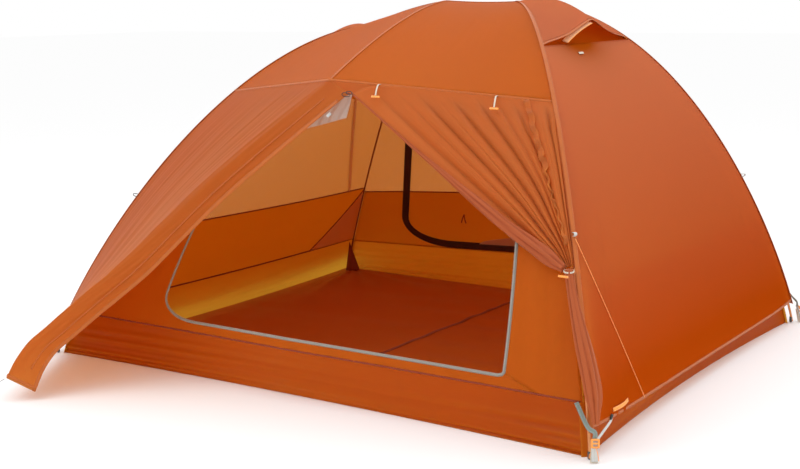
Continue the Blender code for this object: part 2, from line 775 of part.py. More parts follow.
def guyline_route(q):
    """The taut line from its loop on the front right leg to the hem of the end panel."""
    start = leg_line(1, -1, GUY_LOOP_AT) + np.array([0.009, -0.008, 0.0])
    end = end_sheet(1, np.array(GUY_HEM_SHARE), np.array(HEM_AT), True)
    end = end + np.array([0.013, 0.0, 0.002])
    line = straight(start, end, q)
    t = np.arccos((line[:, 2] / HUB_Z[1]) ** (1 / LEG_DROP)) * 2 / math.pi
    s = (line[:, 1] / leg_line(1, 1, t)[:, 1] + 1) / 2
    behind = end_sheet(1, s, t, True)[:, 0] - line[:, 0]
    reach = GUY_CLEAR + max(0.0, float(behind.max()))
    bow = np.array([reach, -reach, 0.0]) * (4 * q * (1 - q))[:, None]
    return line + bow


def build_cords():
    look = (BRIGHT, 0.6)
    add_tube("guyline", guyline_route(shares(0.0, 1.0, 40)), CORD_RADIUS, look, 2)
    add_tube("flap_cord", smooth_through(FLAP_CORD, 30), CORD_RADIUS, (GREY, 0.6), 2)
    head = FLAP_CORD[-1]
    along = np.array([-0.35, -0.94, 0.0])
    centre = head + along * (PEG_LENGTH / 2 + 0.003)
    centre[2] = PEG_WIDTH * 0.4
    add_block("peg", centre, (PEG_LENGTH, PEG_WIDTH, PEG_WIDTH * 0.8), along, (0, 0, 1),
              (GREY, 0.35, 0.9), 0.0015)


# route of the cord from the vestibule's pegged corner to its peg
FLAP_CORD = np.array([(-0.762, -1.424, 0.078), (-0.785, -1.480, 0.052), (-0.805, -1.535, 0.025),
                      (-0.825, -1.590, 0.0052), (-0.835, -1.620, 0.0050)])


def build_sliders():
    start = zip_line(-1, np.array(0.07))
    ahead = zip_line(-1, np.array(0.40))
    along = ahead - start
    add_block("zip_slider_fly", start + np.array([0.014, -0.006, 0.0]), (0.016, 0.009, 0.006),
              along, (0.64, -0.77, 0.2), (GREY, 0.3, 0.9), 0.001)
    sill = door_for(1)["bottom"]
    spot = wall_sheet(1, np.array([0.45]), np.array([sill]))[0]
    add_block("zip_slider_inner", spot + np.array([0.0, -0.017, 0.004]),
              (0.016, 0.009, 0.006), (1, 0, 0), (0, -1, 0), (BLACK, 0.4), 0.001)


def main():
    build_poles()
    build_floor()
    build_inner()
    build_fly()
    for end in (-1, 1):
        for side in (-1, 1):
            build_corner(end, side)
    build_toggle("toggle_seam_left", seam_toggle(TOGGLE_SHARES[0]))
    build_toggle("toggle_seam_right", seam_toggle(TOGGLE_SHARES[1]))
    build_toggle("toggle_tie", tie_loop())
    build_cords()
    build_sliders()


clear_scene()
TENT = bpy.data.collections.new("dome_tent")
bpy.context.scene.collection.children.link(TENT)
main()
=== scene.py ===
"""Looks of a two-door dome tent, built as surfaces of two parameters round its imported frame.

Metres, +Z up.  X runs along the ridge and the front door faces -Y.  The tent's lines (legs, brow,
ridge, seams) are short formulas; every sheet of cloth is held between such lines, and folds and
tension streaks are heights along the sheet's normal.  Numbers are right (1) or left (-1) for an
end and back (1) or front (-1) for a side.
"""
import math

import bpy
import numpy as np
from mathutils import Matrix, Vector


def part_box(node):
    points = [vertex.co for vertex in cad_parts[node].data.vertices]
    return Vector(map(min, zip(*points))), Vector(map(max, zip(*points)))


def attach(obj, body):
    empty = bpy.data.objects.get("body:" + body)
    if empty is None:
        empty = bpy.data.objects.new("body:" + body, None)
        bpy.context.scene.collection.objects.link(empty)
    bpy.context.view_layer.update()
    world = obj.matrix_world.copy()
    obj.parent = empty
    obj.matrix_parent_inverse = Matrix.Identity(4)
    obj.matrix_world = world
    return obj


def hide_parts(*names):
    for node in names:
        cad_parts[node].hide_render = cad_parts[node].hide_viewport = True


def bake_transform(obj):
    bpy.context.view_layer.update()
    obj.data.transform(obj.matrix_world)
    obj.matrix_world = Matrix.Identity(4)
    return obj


bl_info = {
    "name": "Dome tent",
    "version": (1, 0, 0),
    "blender": (4, 5, 0),
    "location": "3D View > Sidebar > Tent",
    "description": "Cloth, seams, zips and fittings of a two-door dome tent on hubbed poles",
    "category": "Add Mesh",
}

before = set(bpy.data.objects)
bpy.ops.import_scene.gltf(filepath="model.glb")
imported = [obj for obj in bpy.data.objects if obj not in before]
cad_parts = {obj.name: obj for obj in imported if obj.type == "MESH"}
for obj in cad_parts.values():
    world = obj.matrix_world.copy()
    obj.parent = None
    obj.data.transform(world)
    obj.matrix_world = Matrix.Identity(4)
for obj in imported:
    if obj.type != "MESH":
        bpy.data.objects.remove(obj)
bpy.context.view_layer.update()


def vec(*values):
    """Numbers as an array of floats."""
    return np.array(values, dtype=float)


# ---- sizes shared with the frame -----------------------------------------------------------
FOOT_LENGTH = 2.20
FOOT_WIDTH = 1.856
APEX_X = 0.06
APEX_Z = 1.27
HUB_X = {1: 0.35, -1: -0.287}
HUB_Z = {1: 1.264, -1: 1.18}
LEG_SPREAD = {1: 0.98, -1: 1.17}
LEG_DROP = 1.667
BROW_REACH = 0.72
BROW_TIP_Z = 1.025
BROW_DROP = 1.5
SEAM_AT = {1: 0.355, -1: 0.318}
INNER_DEPTH = 0.042
BACK_LEAN = 0.18
ROOF_DEPTH = 0.060
FLOOR_INSET = 0.042
FLOOR_BOW = 0.03
TUB_HEIGHT = 0.165
BAND_HEIGHT = 0.445
HEM_AT = 0.88
HEM_BOW = 0.035
HOOD_FOLD_AT = 0.150
HOOD_FEET_AT = {1: 0.232, -1: 0.250}
SILL_AT = 0.240
HOOD_REACH = 0.105
HOOD_RISE = {1: -0.002, -1: -0.030}
ZIP_TOP = vec(0.145, -0.735, 0.985)
FLAP_TIP = vec(-0.76, -1.419, 0.08)
FLAP_HEM_END = vec(-0.689, -1.364, 0.03)
FLAP_BACK_TIP = vec(-0.725, 1.39, 0.045)
TIE_AT = 0.612
DOOR = {"left": 0.20, "right": 0.878, "top": 0.02, "bottom": 0.685, "lean": 0.09,
        "corners": (0.06, 0.02, 0.012, 0.085)}
BACK_DOOR = {"left": 0.15, "right": 0.89, "top": 0.08, "bottom": 0.70,
             "corners": (0.16, 0.03, 0.05, 0.13)}
MIDDLE = vec(0.0, 0.0, 0.3)
END_NAME = {1: "right", -1: "left"}
SIDE_NAME = {-1: "front", 1: "back"}
DOOR_HALVES = (("front_left", -1, -1), ("back_left", -1, 1), ("back_right", 1, 1))

# routes shared with the frame: the taut line and the cord of the pegged corner
GUY_LOOP_AT = 0.565
GUY_HEM_SHARE = 0.206
GUY_BOW = 0.006
FLAP_CORD = ((-0.762, -1.424, 0.078), (-0.785, -1.480, 0.052), (-0.805, -1.535, 0.025),
             (-0.825, -1.590, 0.0052), (-0.835, -1.620, 0.0050))
ZIP_KNOTS = ((0.145, -0.735, 0.985), (-0.001, -0.806, 0.855), (-0.113, -0.866, 0.752),
             (-0.224, -0.930, 0.644), (-0.324, -1.015, 0.520), (-0.411, -1.090, 0.410),
             (-0.488, -1.150, 0.330), (-0.547, -1.195, 0.272), (-0.611, -1.250, 0.203),
             (-0.654, -1.292, 0.155), (-0.676, -1.330, 0.100), (-0.689, -1.364, 0.03))
DRAPE_EDGE = ((0.160, -0.738, 0.984), (0.366, -0.738, 0.843), (0.551, -0.744, 0.722),
              (0.705, -0.752, 0.624), (0.799, -0.758, 0.571), (0.885, -0.768, 0.528),
              (0.933, -0.780, 0.508))
# pleats of the drawn-up door: place along its top, strength and width; strength also sets the
# painted shade in each groove
GROOVES = ((0.062, 0.75, 0.020), (0.17, 0.50, 0.022), (0.285, 1.0, 0.036),
           (0.37, 0.35, 0.018), (0.46, 1.0, 0.036), (0.60, 1.0, 0.034), (0.70, 0.55, 0.024),
           (0.79, 0.75, 0.026), (0.955, 1.0, 0.022))


# ---- settings ------------------------------------------------------------------------------
def colour_setting(name, use, default):
    return bpy.props.FloatVectorProperty(name=name, description="Colour of " + use,
                                         subtype="COLOR", default=default)


def size_setting(name, use, default, low, high):
    return bpy.props.FloatProperty(name=name, description=use, subtype="DISTANCE",
                                   unit="LENGTH", default=default, min=low, max=high)


class TentSettings(bpy.types.PropertyGroup):
    """Sizes and colours of the tent's cloth and fittings."""
    fly_colour: colour_setting("Fly", "the outer cloth", (0.61, 0.180, 0.016))
    fly_glow: colour_setting("Fly glow", "light through the outer cloth", (1.0, 0.62, 0.26))
    inner_colour: colour_setting("Inner wall", "the solid inner walls", (0.62, 0.150, 0.007))
    inner_glow: colour_setting("Inner wall glow", "light through the inner walls",
                               (1.0, 0.74, 0.20))
    tub_colour: colour_setting("Tub", "the coated tub cloth", (0.53, 0.095, 0.004))
    floor_colour: colour_setting("Floor", "the coated floor", (0.54, 0.110, 0.010))
    mesh_colour: colour_setting("Mesh", "the insect mesh", (0.72, 0.56, 0.42))
    webbing_colour: colour_setting("Webbing", "straps and loops", (0.62, 0.63, 0.60))
    bright_colour: colour_setting("Bright fittings", "buckles, toggles and the line",
                                  (0.98, 0.36, 0.06))
    fly_thickness: size_setting("Fly thickness", "Thickness of the outer cloth", 0.0008,
                                0.0002, 0.002)
    inner_thickness: size_setting("Inner thickness", "Thickness of the inner cloth and mesh",
                                  0.0008, 0.0002, 0.002)
    seam_width: size_setting("Seam width", "Width of the felled seams over the poles", 0.015,
                             0.004, 0.04)
    fold_depth: size_setting("Fold depth", "Depth of the folds in the tied-back door", 0.017,
                             0.0, 0.03)


def settings():
    return bpy.context.scene.dome_tent


# ---- lines of the tent ---------------------------------------------------------------------
def unit(v):
    """A direction divided by its length."""
    v = np.asarray(v, dtype=float)
    return v / np.linalg.norm(v)


def inset(points, depth):
    """Move points towards the origin: the layer that lies depth below the fly."""
    far = np.linalg.norm(points, axis=-1, keepdims=True)
    return points * (1.0 - depth / far)


def leg_line(end, side, t):
    """Fly over a leg: x, y by a power of sine and z by a power of cosine of t quarter turns."""
    angle = np.asarray(t, dtype=float) * math.pi / 2
    spread = np.sin(angle) ** LEG_SPREAD[end]
    x = HUB_X[end] + (end * FOOT_LENGTH / 2 - HUB_X[end]) * spread
    y = side * FOOT_WIDTH / 2 * spread
    return np.stack([x, y, HUB_Z[end] * np.cos(angle) ** LEG_DROP], axis=-1)


def leg_at_height(end, height):
    """Share of a leg at which it stands at a height: the inverse of its power of cosine."""
    return math.acos((height / HUB_Z[end]) ** (1 / LEG_DROP)) * 2 / math.pi


def brow_line(side, t):
    """Apex to brow tip: straight in y, and dropping with the 1.5th power."""
    t = np.asarray(t, dtype=float)
    drop = (APEX_Z - BROW_TIP_Z) * t ** BROW_DROP
    return np.stack([APEX_X + 0 * t, side * BROW_REACH * t, APEX_Z - drop], axis=-1)


def straight(a, b, t):
    """Straight line from a (t 0) to b (t 1)."""
    return a + (b - a) * np.asarray(t, dtype=float)[..., None]


def two_part(first, second, split, s):
    """Two lines end to end; the first takes the share split of the parameter."""
    s = np.asarray(s, dtype=float)
    early = first(np.clip(s / split, 0, 1))
    late = second(np.clip((s - split) / (1 - split), 0, 1))
    return np.where((s < split)[..., None], early, late)


def lift(q, height):
    """A low parabola added to a straight line."""
    return np.stack([0 * q, 0 * q, height * 4 * q * (1 - q)], axis=-1)


def ridge_line(s):
    """Left hub to apex to right hub, each half a straight line with a low arch."""
    left, right = leg_line(-1, 1, 0.0), leg_line(1, 1, 0.0)
    apex = vec(APEX_X, 0, APEX_Z)
    return two_part(lambda q: straight(left, apex, q) + lift(q, 0.012),
                    lambda q: straight(apex, right, q) + lift(q, -0.004), 0.5, s)


def seam_line(side, s):
    """Roof seam: left leg to brow tip to right leg."""
    left = leg_line(-1, side, SEAM_AT[-1])
    right = leg_line(1, side, SEAM_AT[1])
    tip = brow_line(side, 1.0)
    return two_part(lambda q: straight(left, tip, q), lambda q: straight(tip, right, q), 0.5, s)


def floor_edge(side, s):
    """Front or back floor edge, bowed in by a parabola."""
    s = np.asarray(s, dtype=float)
    half = FOOT_LENGTH / 2 - FLOOR_INSET
    x = -half + 2 * half * s
    y = side * (FOOT_WIDTH / 2 - FLOOR_INSET - FLOOR_BOW * 4 * s * (1 - s))
    return np.stack([x, y, 0 * x], axis=-1)


def through(knots, q):
    """Catmull-Rom curve through given knots at shares q of its length in knots."""
    knots = np.asarray(knots, dtype=float)
    ends = np.vstack([2 * knots[0] - knots[1], knots, 2 * knots[-1] - knots[-2]])
    spots = np.clip(np.asarray(q, dtype=float), 0, 1) * (len(knots) - 1)
    index = np.minimum(spots.astype(int), len(knots) - 2)
    f = (spots - index)[..., None]
    a, b, c, d = ends[index], ends[index + 1], ends[index + 2], ends[index + 3]
    return 0.5 * (2 * b + (c - a) * f + (2 * a - 5 * b + 4 * c - d) * f ** 2
                  + (3 * b - a - 3 * c + d) * f ** 3)


def ease(x):
    """Smooth step from 0 to 1."""
    x = np.clip(x, 0, 1)
    return x * x * (3 - 2 * x)


def running(path):
    """Running length from the start of a path to each of its points."""
    return np.concatenate([[0], np.cumsum(np.linalg.norm(np.diff(path, axis=0), axis=1))])


# ---- sheets --------------------------------------------------------------------------------
def four_edges(top, right, bottom, left, s, t):
    """Coons patch: rows between top and bottom plus columns between the sides, less corners."""
    across, down = s[..., None], t[..., None]
    zero, one = np.zeros(1), np.ones(1)
    rows = (1 - down) * top(s) + down * bottom(s)
    columns = (1 - across) * left(t) + across * right(t)
    corners = ((1 - across) * (1 - down) * top(zero) + across * (1 - down) * top(one)
               + (1 - across) * down * bottom(zero) + across * down * bottom(one))
    return rows + columns - corners


def leg_part(end, side, first, last, depth=None):
    """Part of a leg as an edge of a sheet, depth below the fly if given."""
    def edge(q):
        line = leg_line(end, side, first + (last - first) * q)
        return line if depth is None else inset(line, depth)
    return edge


def roof_sheet(side, s, t):
    """Ridge (t 0) to roof seam (t 1) in two bays that meet over the brow pole."""
    left = four_edges(lambda q: ridge_line(q / 2), lambda q: brow_line(side, q),
                      lambda q: seam_line(side, q / 2), leg_part(-1, side, 0, SEAM_AT[-1]),
                      np.clip(2 * s, 0, 1), t)
    right = four_edges(lambda q: ridge_line(0.5 + q / 2), leg_part(1, side, 0, SEAM_AT[1]),
                       lambda q: seam_line(side, 0.5 + q / 2), lambda q: brow_line(side, q),
                       np.clip(2 * s - 1, 0, 1), t)
    return np.where((s < 0.5)[..., None], left, right)


def end_sheet(end, s, t, hem=False):
    """End of the tent between its two legs: s front to back, t a share of the leg."""
    line = leg_line(end, 1, t)
    width = 2 * s - 1
    bow = (HEM_BOW if hem else FLOOR_BOW) * t ** 4 * (1 - width ** 2)
    return np.stack([line[..., 0] - end * bow, line[..., 1] * width, line[..., 2]], axis=-1)


def wall_sheet(side, s, t):
    """Inner front or back wall: roof seam (t 0) to floor edge (t 1)."""
    points = four_edges(lambda q: inset(seam_line(side, q), INNER_DEPTH),
                        leg_part(1, side, SEAM_AT[1], 1, INNER_DEPTH),
                        lambda q: floor_edge(side, q),
                        leg_part(-1, side, SEAM_AT[-1], 1, INNER_DEPTH), s, t)
    if side > 0:
        points[..., 0] += BACK_LEAN * points[..., 2] * np.clip(1 - s / 0.14, 0, 1)
    return points


def inner_end(end, s, t):
    """Inner end wall: the end sheet one layer down, its back left corner leaning in."""
    points = inset(end_sheet(end, s, t), INNER_DEPTH)
    if end < 0:
        points[..., 0] += BACK_LEAN * points[..., 2] * ease(s)
    return points


def wall_share(side, height):
    """Share t of a wall at which its middle stands at a height."""
    t = np.linspace(0, 1, 400)
    points = wall_sheet(side, np.full(400, 0.5), t)
    return float(np.interp(-height, -points[:, 2], t))


def side_of(points, side):
    """Mirror front points (-Y) to the back when side is 1."""
    return points * vec(1, -side, 1)


def zip_line(side, t):
    """Vestibule zip edge, top to hem: slack knots at the front, straight at the back."""
    if side > 0:
        return straight(side_of(ZIP_TOP, side), FLAP_BACK_TIP, t)
    far = running(np.array(ZIP_KNOTS))
    shares = np.interp(np.asarray(t, dtype=float) * far[-1], far, np.linspace(0, 1, len(far)))
    return through(ZIP_KNOTS, shares)


def door_half(end, side, s, t):
    """Half of a vestibule door: leg (s 0) to zip edge (s 1), roof seam (t 0) to hem (t 1)."""
    top, corner = side_of(ZIP_TOP, side), leg_line(end, side, HEM_AT)
    seam_end = leg_line(end, side, SEAM_AT[end])
    if end < 0:
        bend, split = brow_line(side, 1.0), 0.85
    else:
        bend, split = seam_line(side, 0.58), 0.93

    def hem(q):
        if side < 0:
            return two_part(lambda p: straight(corner, FLAP_TIP, p) + lift(p, -0.012),
                            lambda p: straight(FLAP_TIP, FLAP_HEM_END, p), 0.8, q)
        return straight(corner, FLAP_BACK_TIP, q) + lift(np.asarray(q, float), 0.02)

    return four_edges(lambda q: two_part(lambda p: straight(seam_end, bend, p),
                                         lambda p: straight(bend, top, p), split, q),
                      lambda q: zip_line(side, q), hem,
                      leg_part(end, side, SEAM_AT[end], HEM_AT), s, t)


def drape_base(s, t):
    """Tied-back door half: free edge (s 0) to leg (s 1), roof seam (t 0) to the tie (t 1)."""
    aside = vec(-0.006, -0.010, 0.0)
    end = leg_line(1, -1, TIE_AT - 0.01) + aside

    def seam(q):
        q = np.asarray(q, dtype=float)
        line = seam_line(-1, 0.5 + (0.123 + 0.877 * q) / 2) + vec(0.0, -0.004, -0.003)
        first = ZIP_TOP + vec(0.0, 0.0, -0.002) - seam_line(-1, 0.5615)
        return line + first * np.exp(-q / 0.045)[..., None]

    def leg(q):
        line = leg_line(1, -1, SEAM_AT[1] + (TIE_AT - 0.01 - SEAM_AT[1]) * q)
        return line + aside * np.minimum(1, q / 0.2)[..., None]

    return four_edges(seam, leg, lambda q: straight(np.array(DRAPE_EDGE[-1]), end, q),
                      lambda q: through(DRAPE_EDGE, q), s, t)


# ---- heights of folds and streaks ----------------------------------------------------------
def outward_normals(points, middle=MIDDLE):
    """Cross product of a grid's two directions, turned away from the tent's middle."""
    normal = np.cross(np.gradient(points, axis=0), np.gradient(points, axis=1))
    normal /= np.maximum(np.linalg.norm(normal, axis=-1, keepdims=True), 1e-12)
    out = np.sum(normal * (points - middle), axis=-1).sum()
    return normal if out > 0 else -normal


def streaks(across, along, seed, pitches, slant=0.0, bend=0.0):
    """Waves that run along one parameter: random phases, each fading in and out on its way."""
    rng = np.random.default_rng(seed)
    total = np.zeros_like(across)
    for pitch in pitches:
        phase, fade, shift = rng.uniform(0, 2 * math.pi, 3)
        place = across + slant * along + bend * along ** 2 * rng.uniform(-1, 1)
        wave = np.sin(2 * math.pi * pitch * place + phase)
        total += wave * (0.55 + 0.45 * np.sin(2.2 * math.pi * along + fade + 3 * across + shift))
    return total / len(pitches)


def raised(points, height):
    """Points moved along their normals by a height."""
    return points + outward_normals(points) * height[..., None]


def grid(rows, columns, s_range=(0.0, 1.0), t_range=(0.0, 1.0)):
    return np.meshgrid(np.linspace(*s_range, rows), np.linspace(*t_range, columns),
                       indexing="ij")


# ---- meshes --------------------------------------------------------------------------------
def metre_map(points):
    """Cloth coordinates in metres: mean running length along each of the grid's directions."""
    rows, columns = points.shape[:2]
    along = np.linalg.norm(np.diff(points, axis=0), axis=-1)
    down = np.linalg.norm(np.diff(points, axis=1), axis=-1)
    u = np.concatenate([np.zeros((1, columns)), np.cumsum(along, axis=0)])
    v = np.concatenate([np.zeros((rows, 1)), np.cumsum(down, axis=1)], axis=1)
    return np.stack([u - u[-1:] / 2, v], axis=-1)


def cloth_sizes(points):
    """Largest running lengths of a grid both ways, and its area."""
    along = np.linalg.norm(np.diff(points, axis=0), axis=-1).sum(axis=0).max()
    down = np.linalg.norm(np.diff(points, axis=1), axis=-1).sum(axis=1).max()
    a = points[1:, :-1] - points[:-1, :-1]
    b = points[:-1, 1:] - points[:-1, :-1]
    c = points[1:, 1:] - points[:-1, :-1]
    area = 0.5 * (np.linalg.norm(np.cross(a, c), axis=-1)
                  + np.linalg.norm(np.cross(c, b), axis=-1)).sum()
    return float(along), float(down), float(area)


def mesh_from(name, points, uv, quads, caps=()):
    """Points, cloth coordinates per point and faces to a smooth mesh object at the origin."""
    mesh = bpy.data.meshes.new(name)
    faces = quads.tolist() + [list(cap) for cap in caps]
    mesh.from_pydata(points.reshape(-1, 3).tolist(), [], faces)
    layer = mesh.uv_layers.new(name="cloth")
    corners = np.empty(len(mesh.loops), dtype=np.int32)
    mesh.loops.foreach_get("vertex_index", corners)
    layer.data.foreach_set("uv", uv.reshape(-1, 2)[corners].ravel())
    mesh.shade_smooth()
    mesh.update()
    thing = bpy.data.objects.new(name, mesh)
    bpy.context.scene.collection.objects.link(thing)
    return thing


def tube_faces(rows, columns):
    """Indices and side faces of rings of points joined into a tube."""
    index = np.arange(rows * columns).reshape(rows, columns)
    after = np.roll(index, -1, axis=1)
    quads = np.stack([index[:-1], after[:-1], after[1:], index[1:]], axis=-1).reshape(-1, 4)
    return index, quads


def grid_mesh(name, points, middle=MIDDLE):
    """Open grid of points to a sheet whose faces look away from the tent's middle."""
    rows, columns = points.shape[:2]
    index = np.arange(rows * columns).reshape(rows, columns)
    quads = np.stack([index[:-1, :-1], index[1:, :-1], index[1:, 1:], index[:-1, 1:]], axis=-1)
    quads = quads.reshape(-1, 4)
    normal = np.cross(np.gradient(points, axis=0), np.gradient(points, axis=1))
    if np.sum(normal * (points - middle)) < 0:
        quads = quads[:, ::-1]
    return mesh_from(name, points, metre_map(points), quads)


def paint_fold_shade(thing, amount):
    """Store how much painted shade each point gets, for the material's fold attribute."""
    layer = thing.data.attributes.new("fold", "FLOAT", "POINT")
    layer.data.foreach_set("value", np.clip(amount, 0, 1).astype(np.float32).ravel())


def dress(thing, finish, body="root", replaced=(), bend=None):
    """Material, hidden replaced nodes and the body; with a bend (body, start, stop) it is baked
    in place instead.
    """
    thing.data.materials.append(looks()[finish])
    if bend:
        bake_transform(thing)
    else:
        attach(thing, body)
    if replaced:
        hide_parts(*replaced)
    return thing


def cloth(name, points, finish, slot, replaced=(), middle=MIDDLE,
          spread=None, bend=None):
    """A sheet of cloth from a grid of points, with its thickness.

    spread is a plain grid over the same cloth, for sheets whose own grid runs in rings.  The
    area is kept inside the rectangle that the sheet is cut from."""
    thing = grid_mesh(name, points, middle)
    solid = thing.modifiers.new("thickness", "SOLIDIFY")
    fly = slot == "fly_cloth"
    solid.thickness = settings().fly_thickness if fly else settings().inner_thickness
    solid.offset = -1.0
    solid.use_even_offset = False
    dress(thing, finish, replaced=replaced, bend=bend)
    width, length, area = cloth_sizes(points)
    if spread is not None:
        width, length = cloth_sizes(spread)[:2]
    area = round(min(max(area, 0.305 * width * length), 0.995 * width * length), 5)
    return thing


def rounded(half_width, half_height, count=12, power=2.0):
    """Closed profile: a superellipse of the given half sizes; power 2 is round."""
    angle = np.linspace(0, 2 * math.pi, count, endpoint=False) + math.pi / count
    c, s = np.cos(angle), np.sin(angle)
    return np.stack([half_width * np.sign(c) * np.abs(c) ** (2 / power),
                     half_height * np.sign(s) * np.abs(s) ** (2 / power)], axis=-1)


def tapered(wide, half_height, count):
    """Flat ribbon profiles whose half width changes along the path."""
    return rounded(1.0, half_height, count, 5)[None] * np.stack([wide, 0 * wide + 1],
                                                                -1)[:, None]


def gathered(size, folds, angle, wide, high):
    """Profiles of gathered cloth: an oval of changing size, its radius waved by folds."""
    oval = np.stack([np.cos(angle) * wide, np.sin(angle) * high], axis=-1)[None]
    return size[:, None, None] * folds[..., None] * oval


def swept_points(path, facing, profile):
    """Profile carried along a path: x across, y towards facing; profiles may change per point."""
    path = np.asarray(path, dtype=float)
    facing = np.broadcast_to(np.asarray(facing, dtype=float), path.shape)
    along = np.gradient(path, axis=0)
    along /= np.linalg.norm(along, axis=-1, keepdims=True)
    across = np.cross(along, facing)
    across /= np.linalg.norm(across, axis=-1, keepdims=True)
    up = np.cross(across, along)
    profile = np.broadcast_to(profile, (len(path),) + np.shape(profile)[-2:])
    return (path[:, None] + across[:, None] * profile[..., 0:1]
            + up[:, None] * profile[..., 1:2])


def sweep(name, path, facing, profile, finish, body="root", replaced=(),
          bend=None):
    """A closed tube or ribbon: the swept profile with a flat cap at each end.

    A short profile is the half width, half height, point count and power of rounded."""
    if len(profile) < 5:
        profile = rounded(*profile)
    points = swept_points(path, facing, profile)
    rows, columns = points.shape[:2]
    index, quads = tube_faces(rows, columns)
    round_way = np.linalg.norm(np.diff(points[0], axis=0), axis=1)
    u = np.concatenate([[0], np.cumsum(round_way)])
    uv = np.stack(np.broadcast_arrays(u[None, :], running(path)[:, None]), axis=-1)
    thing = mesh_from(name, points, uv, quads, (index[0][::-1], index[-1]))
    ring = points[0] - points[0].mean(axis=0)
    turn = np.sum(np.cross(ring, np.roll(ring, -1, axis=0)), axis=0)
    if np.dot(turn, path[1] - path[0]) < 0:
        thing.data.flip_normals()
    return dress(thing, finish, body, replaced, bend)


def turned(name, base, axis, radii, heights, count, finish):
    """A turned piece: radii at heights along an axis from its base, closed by flat caps."""
    axis = unit(axis)
    side = unit(np.cross(axis, [0.3, 0.9, 0.2]))
    other = np.cross(axis, side)
    angle = np.linspace(0, 2 * math.pi, count, endpoint=False)
    ring = np.cos(angle)[:, None] * side + np.sin(angle)[:, None] * other
    points = (np.asarray(base, float) + np.asarray(heights)[:, None, None] * axis
              + np.asarray(radii)[:, None, None] * ring[None])
    index, quads = tube_faces(points.shape[0], count)
    uv = np.stack(np.broadcast_arrays(angle[None, :] * max(radii), np.asarray(heights)[:, None]),
                  axis=-1)
    thing = mesh_from(name, points, uv, quads, (index[0][::-1], index[-1]))
    return dress(thing, finish)


# ---- materials -----------------------------------------------------------------------------
def new_look(name):
    look = bpy.data.materials.new(name)
    look.use_nodes = True
    look.node_tree.nodes.clear()
    return look, look.node_tree


def wire(tree, kind, links=None, out=0, **values):
    """Output of a new shader node, with its settings, socket values and feeding sockets."""
    made = tree.nodes.new("ShaderNode" + kind)
    for key, value in values.items():
        setattr(made, key, value)
    for socket, source in (links or {}).items():
        if isinstance(source, bpy.types.NodeSocket):
            tree.links.new(source, made.inputs[socket])
        else:
            made.inputs[socket].default_value = source
    return made.outputs[out] if len(made.outputs) else made


def calculate(tree, operation, a, b=0.0, c=0.0):
    """One step of arithmetic in a material."""
    return wire(tree, "Math", {0: a, 1: b, 2: c}, operation=operation)


def wave_of(tree, kind, place, turn):
    """Sine or cosine of a place times turn."""
    return calculate(tree, kind, calculate(tree, "MULTIPLY", place, turn))


def mixed_colour(tree, share, first, second):
    """A straight mix of two colours."""
    return wire(tree, "Mix", {0: share, 6: first, 7: second}, 2, data_type="RGBA")


def bumped(tree, height, distance, strength, **under):
    """Surface direction tipped by a height."""
    return wire(tree, "Bump", {"Height": height, "Distance": distance, "Strength": strength,
                               **under})


def cloth_places(tree):
    """Cloth coordinates in metres, and their two parts."""
    place = wire(tree, "UVMap", uv_map="cloth")
    parts = wire(tree, "SeparateXYZ", {0: place}).node.outputs
    return place, parts[0], parts[1]


def grid_lines(tree, u, v, pitch, sharpness):
    """Raised lines of a ripstop grid: a high power of the cosine across each direction."""
    lines = [calculate(tree, "POWER", calculate(
        tree, "ABSOLUTE", wave_of(tree, "COSINE", place, math.pi / pitch)), sharpness)
        for place in (u, v)]
    return calculate(tree, "MAXIMUM", lines[0], lines[1])


def varied(tree, colour, place, scale, spread, stretch=(1.0, 1.0, 1.0)):
    """A colour that drifts a little lighter and darker in soft clouds, and the clouds."""
    mapped = wire(tree, "Mapping", {0: place, 3: stretch})
    clouds = wire(tree, "TexNoise",
                  {"Vector": mapped, "Scale": scale, "Detail": 4.0, "Roughness": 0.55})
    ramp = wire(tree, "MapRange", {0: clouds, 1: 0.3, 2: 0.7, 3: 1.0 - spread,
                                   4: 1.0 + spread * 0.6})
    return wire(tree, "HueSaturation", {"Color": (*colour, 1.0), "Value": ramp}), clouds


